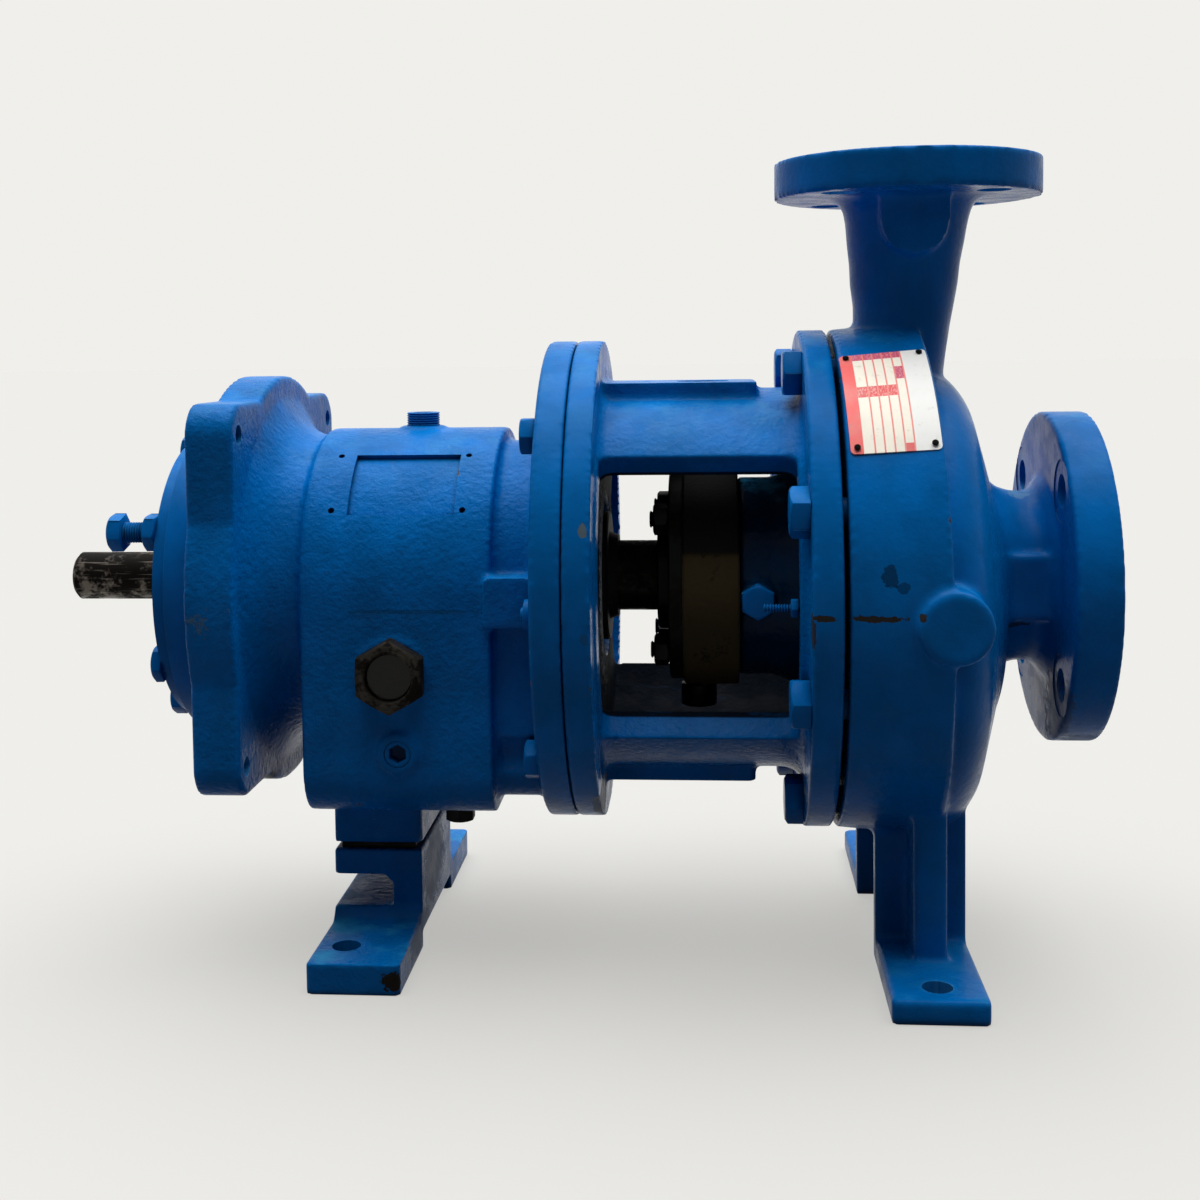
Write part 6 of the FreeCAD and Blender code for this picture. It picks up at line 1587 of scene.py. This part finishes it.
@dataclass
class NamePlate:
    """Plate on the casing band, with its drive screws."""

    palette: Palette
    left_x: float = -44.0
    seat: float = 144.46
    rise: float = 3.34
    thick: float = 0.8
    corner: float = 2.6

    def sheet(self, style: PrintedPlate) -> bpy.types.Object:
        """Bends the plate to the tapered band and rounds its corners."""
        first, last = style.middle - style.sweep / 2, style.middle + style.sweep / 2
        plate = wedge("maker_plate", self.left_x, style.width, self.seat, self.seat + self.thick, first, last, 8)
        bpy.ops.object.mode_set(mode="EDIT")
        bpy.ops.mesh.select_mode(type="VERT")
        pick(plate, "verts", lambda vert: vert.co.x > (self.left_x + style.width / 2) * MM)
        grow = 1 + self.rise / self.seat
        bpy.ops.transform.resize(value=(1, grow, grow), center_override=metres(0, 0, 0))
        bpy.ops.mesh.select_mode(type="EDGE")

        def at_corner(edge: bmesh.types.BMEdge) -> bool:
            middle = middle_of(edge)
            angle = math.degrees(math.atan2(-middle.y, middle.z))
            across = abs(edge.verts[0].co.x - edge.verts[1].co.x) < 1e-6
            return across and min(abs(angle - first), abs(angle - last)) < 0.3

        pick(plate, "edges", at_corner)
        bpy.ops.mesh.bevel(offset=self.corner * MM, segments=6, affect="EDGES")
        bpy.ops.object.mode_set(mode="OBJECT")
        bpy.ops.object.shade_smooth_by_angle(angle=math.radians(32))
        return plate

    def build(self) -> None:
        """Lays the plate a little askew and sets the screws in its corners."""
        style = PrintedPlate()
        y, z = around(style.radius, style.middle)
        centre = metres(style.centre_x, y, z)
        outward = (centre - metres(style.centre_x, 0, 0)).normalized()
        askew = Matrix.Rotation(math.radians(style.tilt), 4, outward)
        turn = Matrix.Translation(centre) @ askew @ Matrix.Translation(-centre)
        plate = self.sheet(style)
        plate.data.transform(turn)
        show(plate, self.palette.plate, "frame", ["name_plate"])
        rivets = smooth_copy("name_plate_rivets", "plate_pins", 0.25)
        rivets.data.transform(turn)
        show(rivets, self.palette.black, "frame", ["name_plate_rivets"])


@dataclass
class HiddenParts:
    """Frame nodes whose shape is right as it is."""

    palette: Palette
    plain: dict[str, str] = field(default_factory=lambda: {
        "cover_gasket": "fibre", "seal_seat": "carbon", "seal_head": "steel", "inboard_oil_seal": "rubber",
        "outboard_oil_seal": "rubber", "housing_o_ring": "rubber", "foot_bolt": "fastener",
        "thrust_inner_race": "bright", "thrust_outer_race": "bright", "thrust_balls": "bright",
        "radial_inner_race": "bright", "radial_outer_race": "bright", "radial_balls": "bright",
        "bearing_lockwasher": "steel", "bearing_locknut": "steel"})

    def build(self) -> None:
        """Gives each node its finish."""
        for node, finish in self.plain.items():
            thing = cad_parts[node]
            thing.data.materials.clear()
            thing.data.materials.append(getattr(self.palette, finish))
            log.info("%s keeps its shape, finish %s", node, finish)


@dataclass
class Studio:
    """Floor, light and camera."""

    camera_place: Point = (-0.1150, -0.9235, 0.34505)
    yaw: float = -0.0811
    pitch: float = -0.0566
    roll: float = -0.0126
    focal_px: float = 1558.4
    centre_px: tuple[float, float] = (583.2, 436.4)
    picture: float = 1200.0
    backdrop: Colour = (240, 239, 235)
    lit_share: float = 0.45
    sky_on_floor: float = 2.27
    ceiling: float = 6.6
    behind: float = 0.08
    left: float = 0.13
    right: float = 0.08
    front: float = 0.005

    def camera(self) -> None:
        """Sets the camera at the place and aim of the photograph."""
        data = bpy.data.cameras.new("Camera")
        camera = bpy.data.objects.new("Camera", data)
        bpy.context.scene.collection.objects.link(camera)
        ahead = Vector((math.sin(self.yaw) * math.cos(self.pitch), math.cos(self.yaw) * math.cos(self.pitch),
                        math.sin(self.pitch)))
        level = Vector((math.cos(self.yaw), -math.sin(self.yaw), 0))
        above = level.cross(ahead)
        right = level * math.cos(self.roll) + above * math.sin(self.roll)
        top = above * math.cos(self.roll) - level * math.sin(self.roll)
        turn = Matrix((right, top, -ahead)).transposed().to_4x4()
        camera.matrix_world = Matrix.Translation(Vector(self.camera_place)) @ turn
        data.sensor_width = 36.0
        data.lens = 36.0 * self.focal_px / self.picture
        data.shift_x = (self.picture / 2 - self.centre_px[0]) / self.picture
        data.shift_y = (self.centre_px[1] - self.picture / 2) / self.picture
        data.clip_start = 0.01
        bpy.context.scene.camera = camera

    def floor(self) -> None:
        """Lays a pale floor: what the camera sees of it is only partly darkened by shadow."""
        bpy.ops.object.select_all(action="DESELECT")
        bpy.ops.mesh.primitive_plane_add(size=60, location=(0, 0, -0.0002))
        floor = settle("floor")
        material = bpy.data.materials.new("Pale floor")
        material.use_nodes = True
        graph = Graph(material.node_tree)
        lit = graph.add("ShaderNodeBsdfDiffuse", {"Color": self.scaled(self.lit_share / self.sky_on_floor)})
        glow = graph.add("ShaderNodeEmission", {"Color": srgb(*self.backdrop), "Strength": 1 - self.lit_share})
        seen = graph.add("ShaderNodeAddShader", {0: lit.outputs[0], 1: glow.outputs[0]})
        plain = graph.add("ShaderNodeBsdfDiffuse", {"Color": srgb(84, 88, 92)})
        mixed = graph.add("ShaderNodeMixShader", {0: self.looking(graph), 1: plain.outputs[0],
                                                  2: seen.outputs[0]})
        output = graph.add("ShaderNodeOutputMaterial")
        graph.tree.links.new(mixed.outputs[0], output.inputs[0])
        floor.data.materials.append(material)

    @staticmethod
    def looking(graph: Graph) -> bpy.types.NodeSocket:
        """One for rays that show the backdrop: from the eye, a reflection or through glass."""
        path = graph.add("ShaderNodeLightPath")
        direct = graph.math("MAXIMUM", path.outputs["Is Camera Ray"], path.outputs["Is Transmission Ray"])
        return graph.math("MAXIMUM", direct, path.outputs["Is Glossy Ray"])

    def scaled(self, share: float) -> tuple[float, float, float, float]:
        """Backdrop colour times a share."""
        red, green, blue, _ = srgb(*self.backdrop)
        return red * share, green * share, blue * share, 1.0

    def world(self) -> None:
        """Pale to the eye; to the object a bright ceiling, fair sides and a dark front."""
        world = bpy.data.worlds.new("World")
        bpy.context.scene.world = world
        world.use_nodes = True
        graph = Graph(world.node_tree)
        seen = self.looking(graph)
        way = graph.add("ShaderNodeSeparateXYZ", {0: graph.add("ShaderNodeTexCoord").outputs["Generated"]})
        height = graph.math("ADD", graph.math("MULTIPLY", way.outputs["Y"], 0.2425),
                            graph.math("MULTIPLY", way.outputs["Z"], 0.9701))
        ceiling = graph.math("MULTIPLY", graph.span(height, 0.62, 1.0), self.ceiling)
        behind = graph.math("MULTIPLY", graph.span(way.outputs["Y"], -0.35, 0.6), self.behind)
        left = graph.math("MULTIPLY", graph.span(way.outputs["X"], -0.2, -0.9), self.left)
        right = graph.math("MULTIPLY", graph.span(way.outputs["X"], 0.3, 0.95), self.right)
        level = graph.math("ADD", graph.math("ADD", ceiling, behind), graph.math("ADD", left, right))
        level = graph.math("ADD", level, self.front)
        lamp = graph.add("ShaderNodeBackground", {"Color": srgb(255, 255, 255), "Strength": level})
        pale = graph.add("ShaderNodeBackground", {"Color": srgb(*self.backdrop), "Strength": 1.0})
        mixed = graph.add("ShaderNodeMixShader", {0: seen, 1: lamp.outputs[0], 2: pale.outputs[0]})
        output = graph.add("ShaderNodeOutputWorld")
        graph.tree.links.new(mixed.outputs[0], output.inputs[0])

    def build(self) -> None:
        """Sets the whole studio."""
        self.camera()
        self.floor()
        self.world()
        bpy.context.scene.view_settings.view_transform = "Standard"


def main() -> None:
    """Builds the pump piece by piece."""
    logging.basicConfig(level=logging.INFO, format="%(message)s")
    palette = Palette.build()
    Casing(palette.casing).build()
    Adapter(palette.lantern).build()
    BearingFrame(palette.cast).build()
    FrameFoot(palette.foot, palette.black).build()
    FlangeBolts(palette.fastener).build()
    BearingHousing(palette.machined, palette.fastener, palette.rubber).build()
    SealArea(palette).build()
    OilFittings(palette).build()
    Rotor(palette).build()
    NamePlate(palette).build()
    HiddenParts(palette).build()
    Studio().build()


if __name__ == "__main__":
    main()
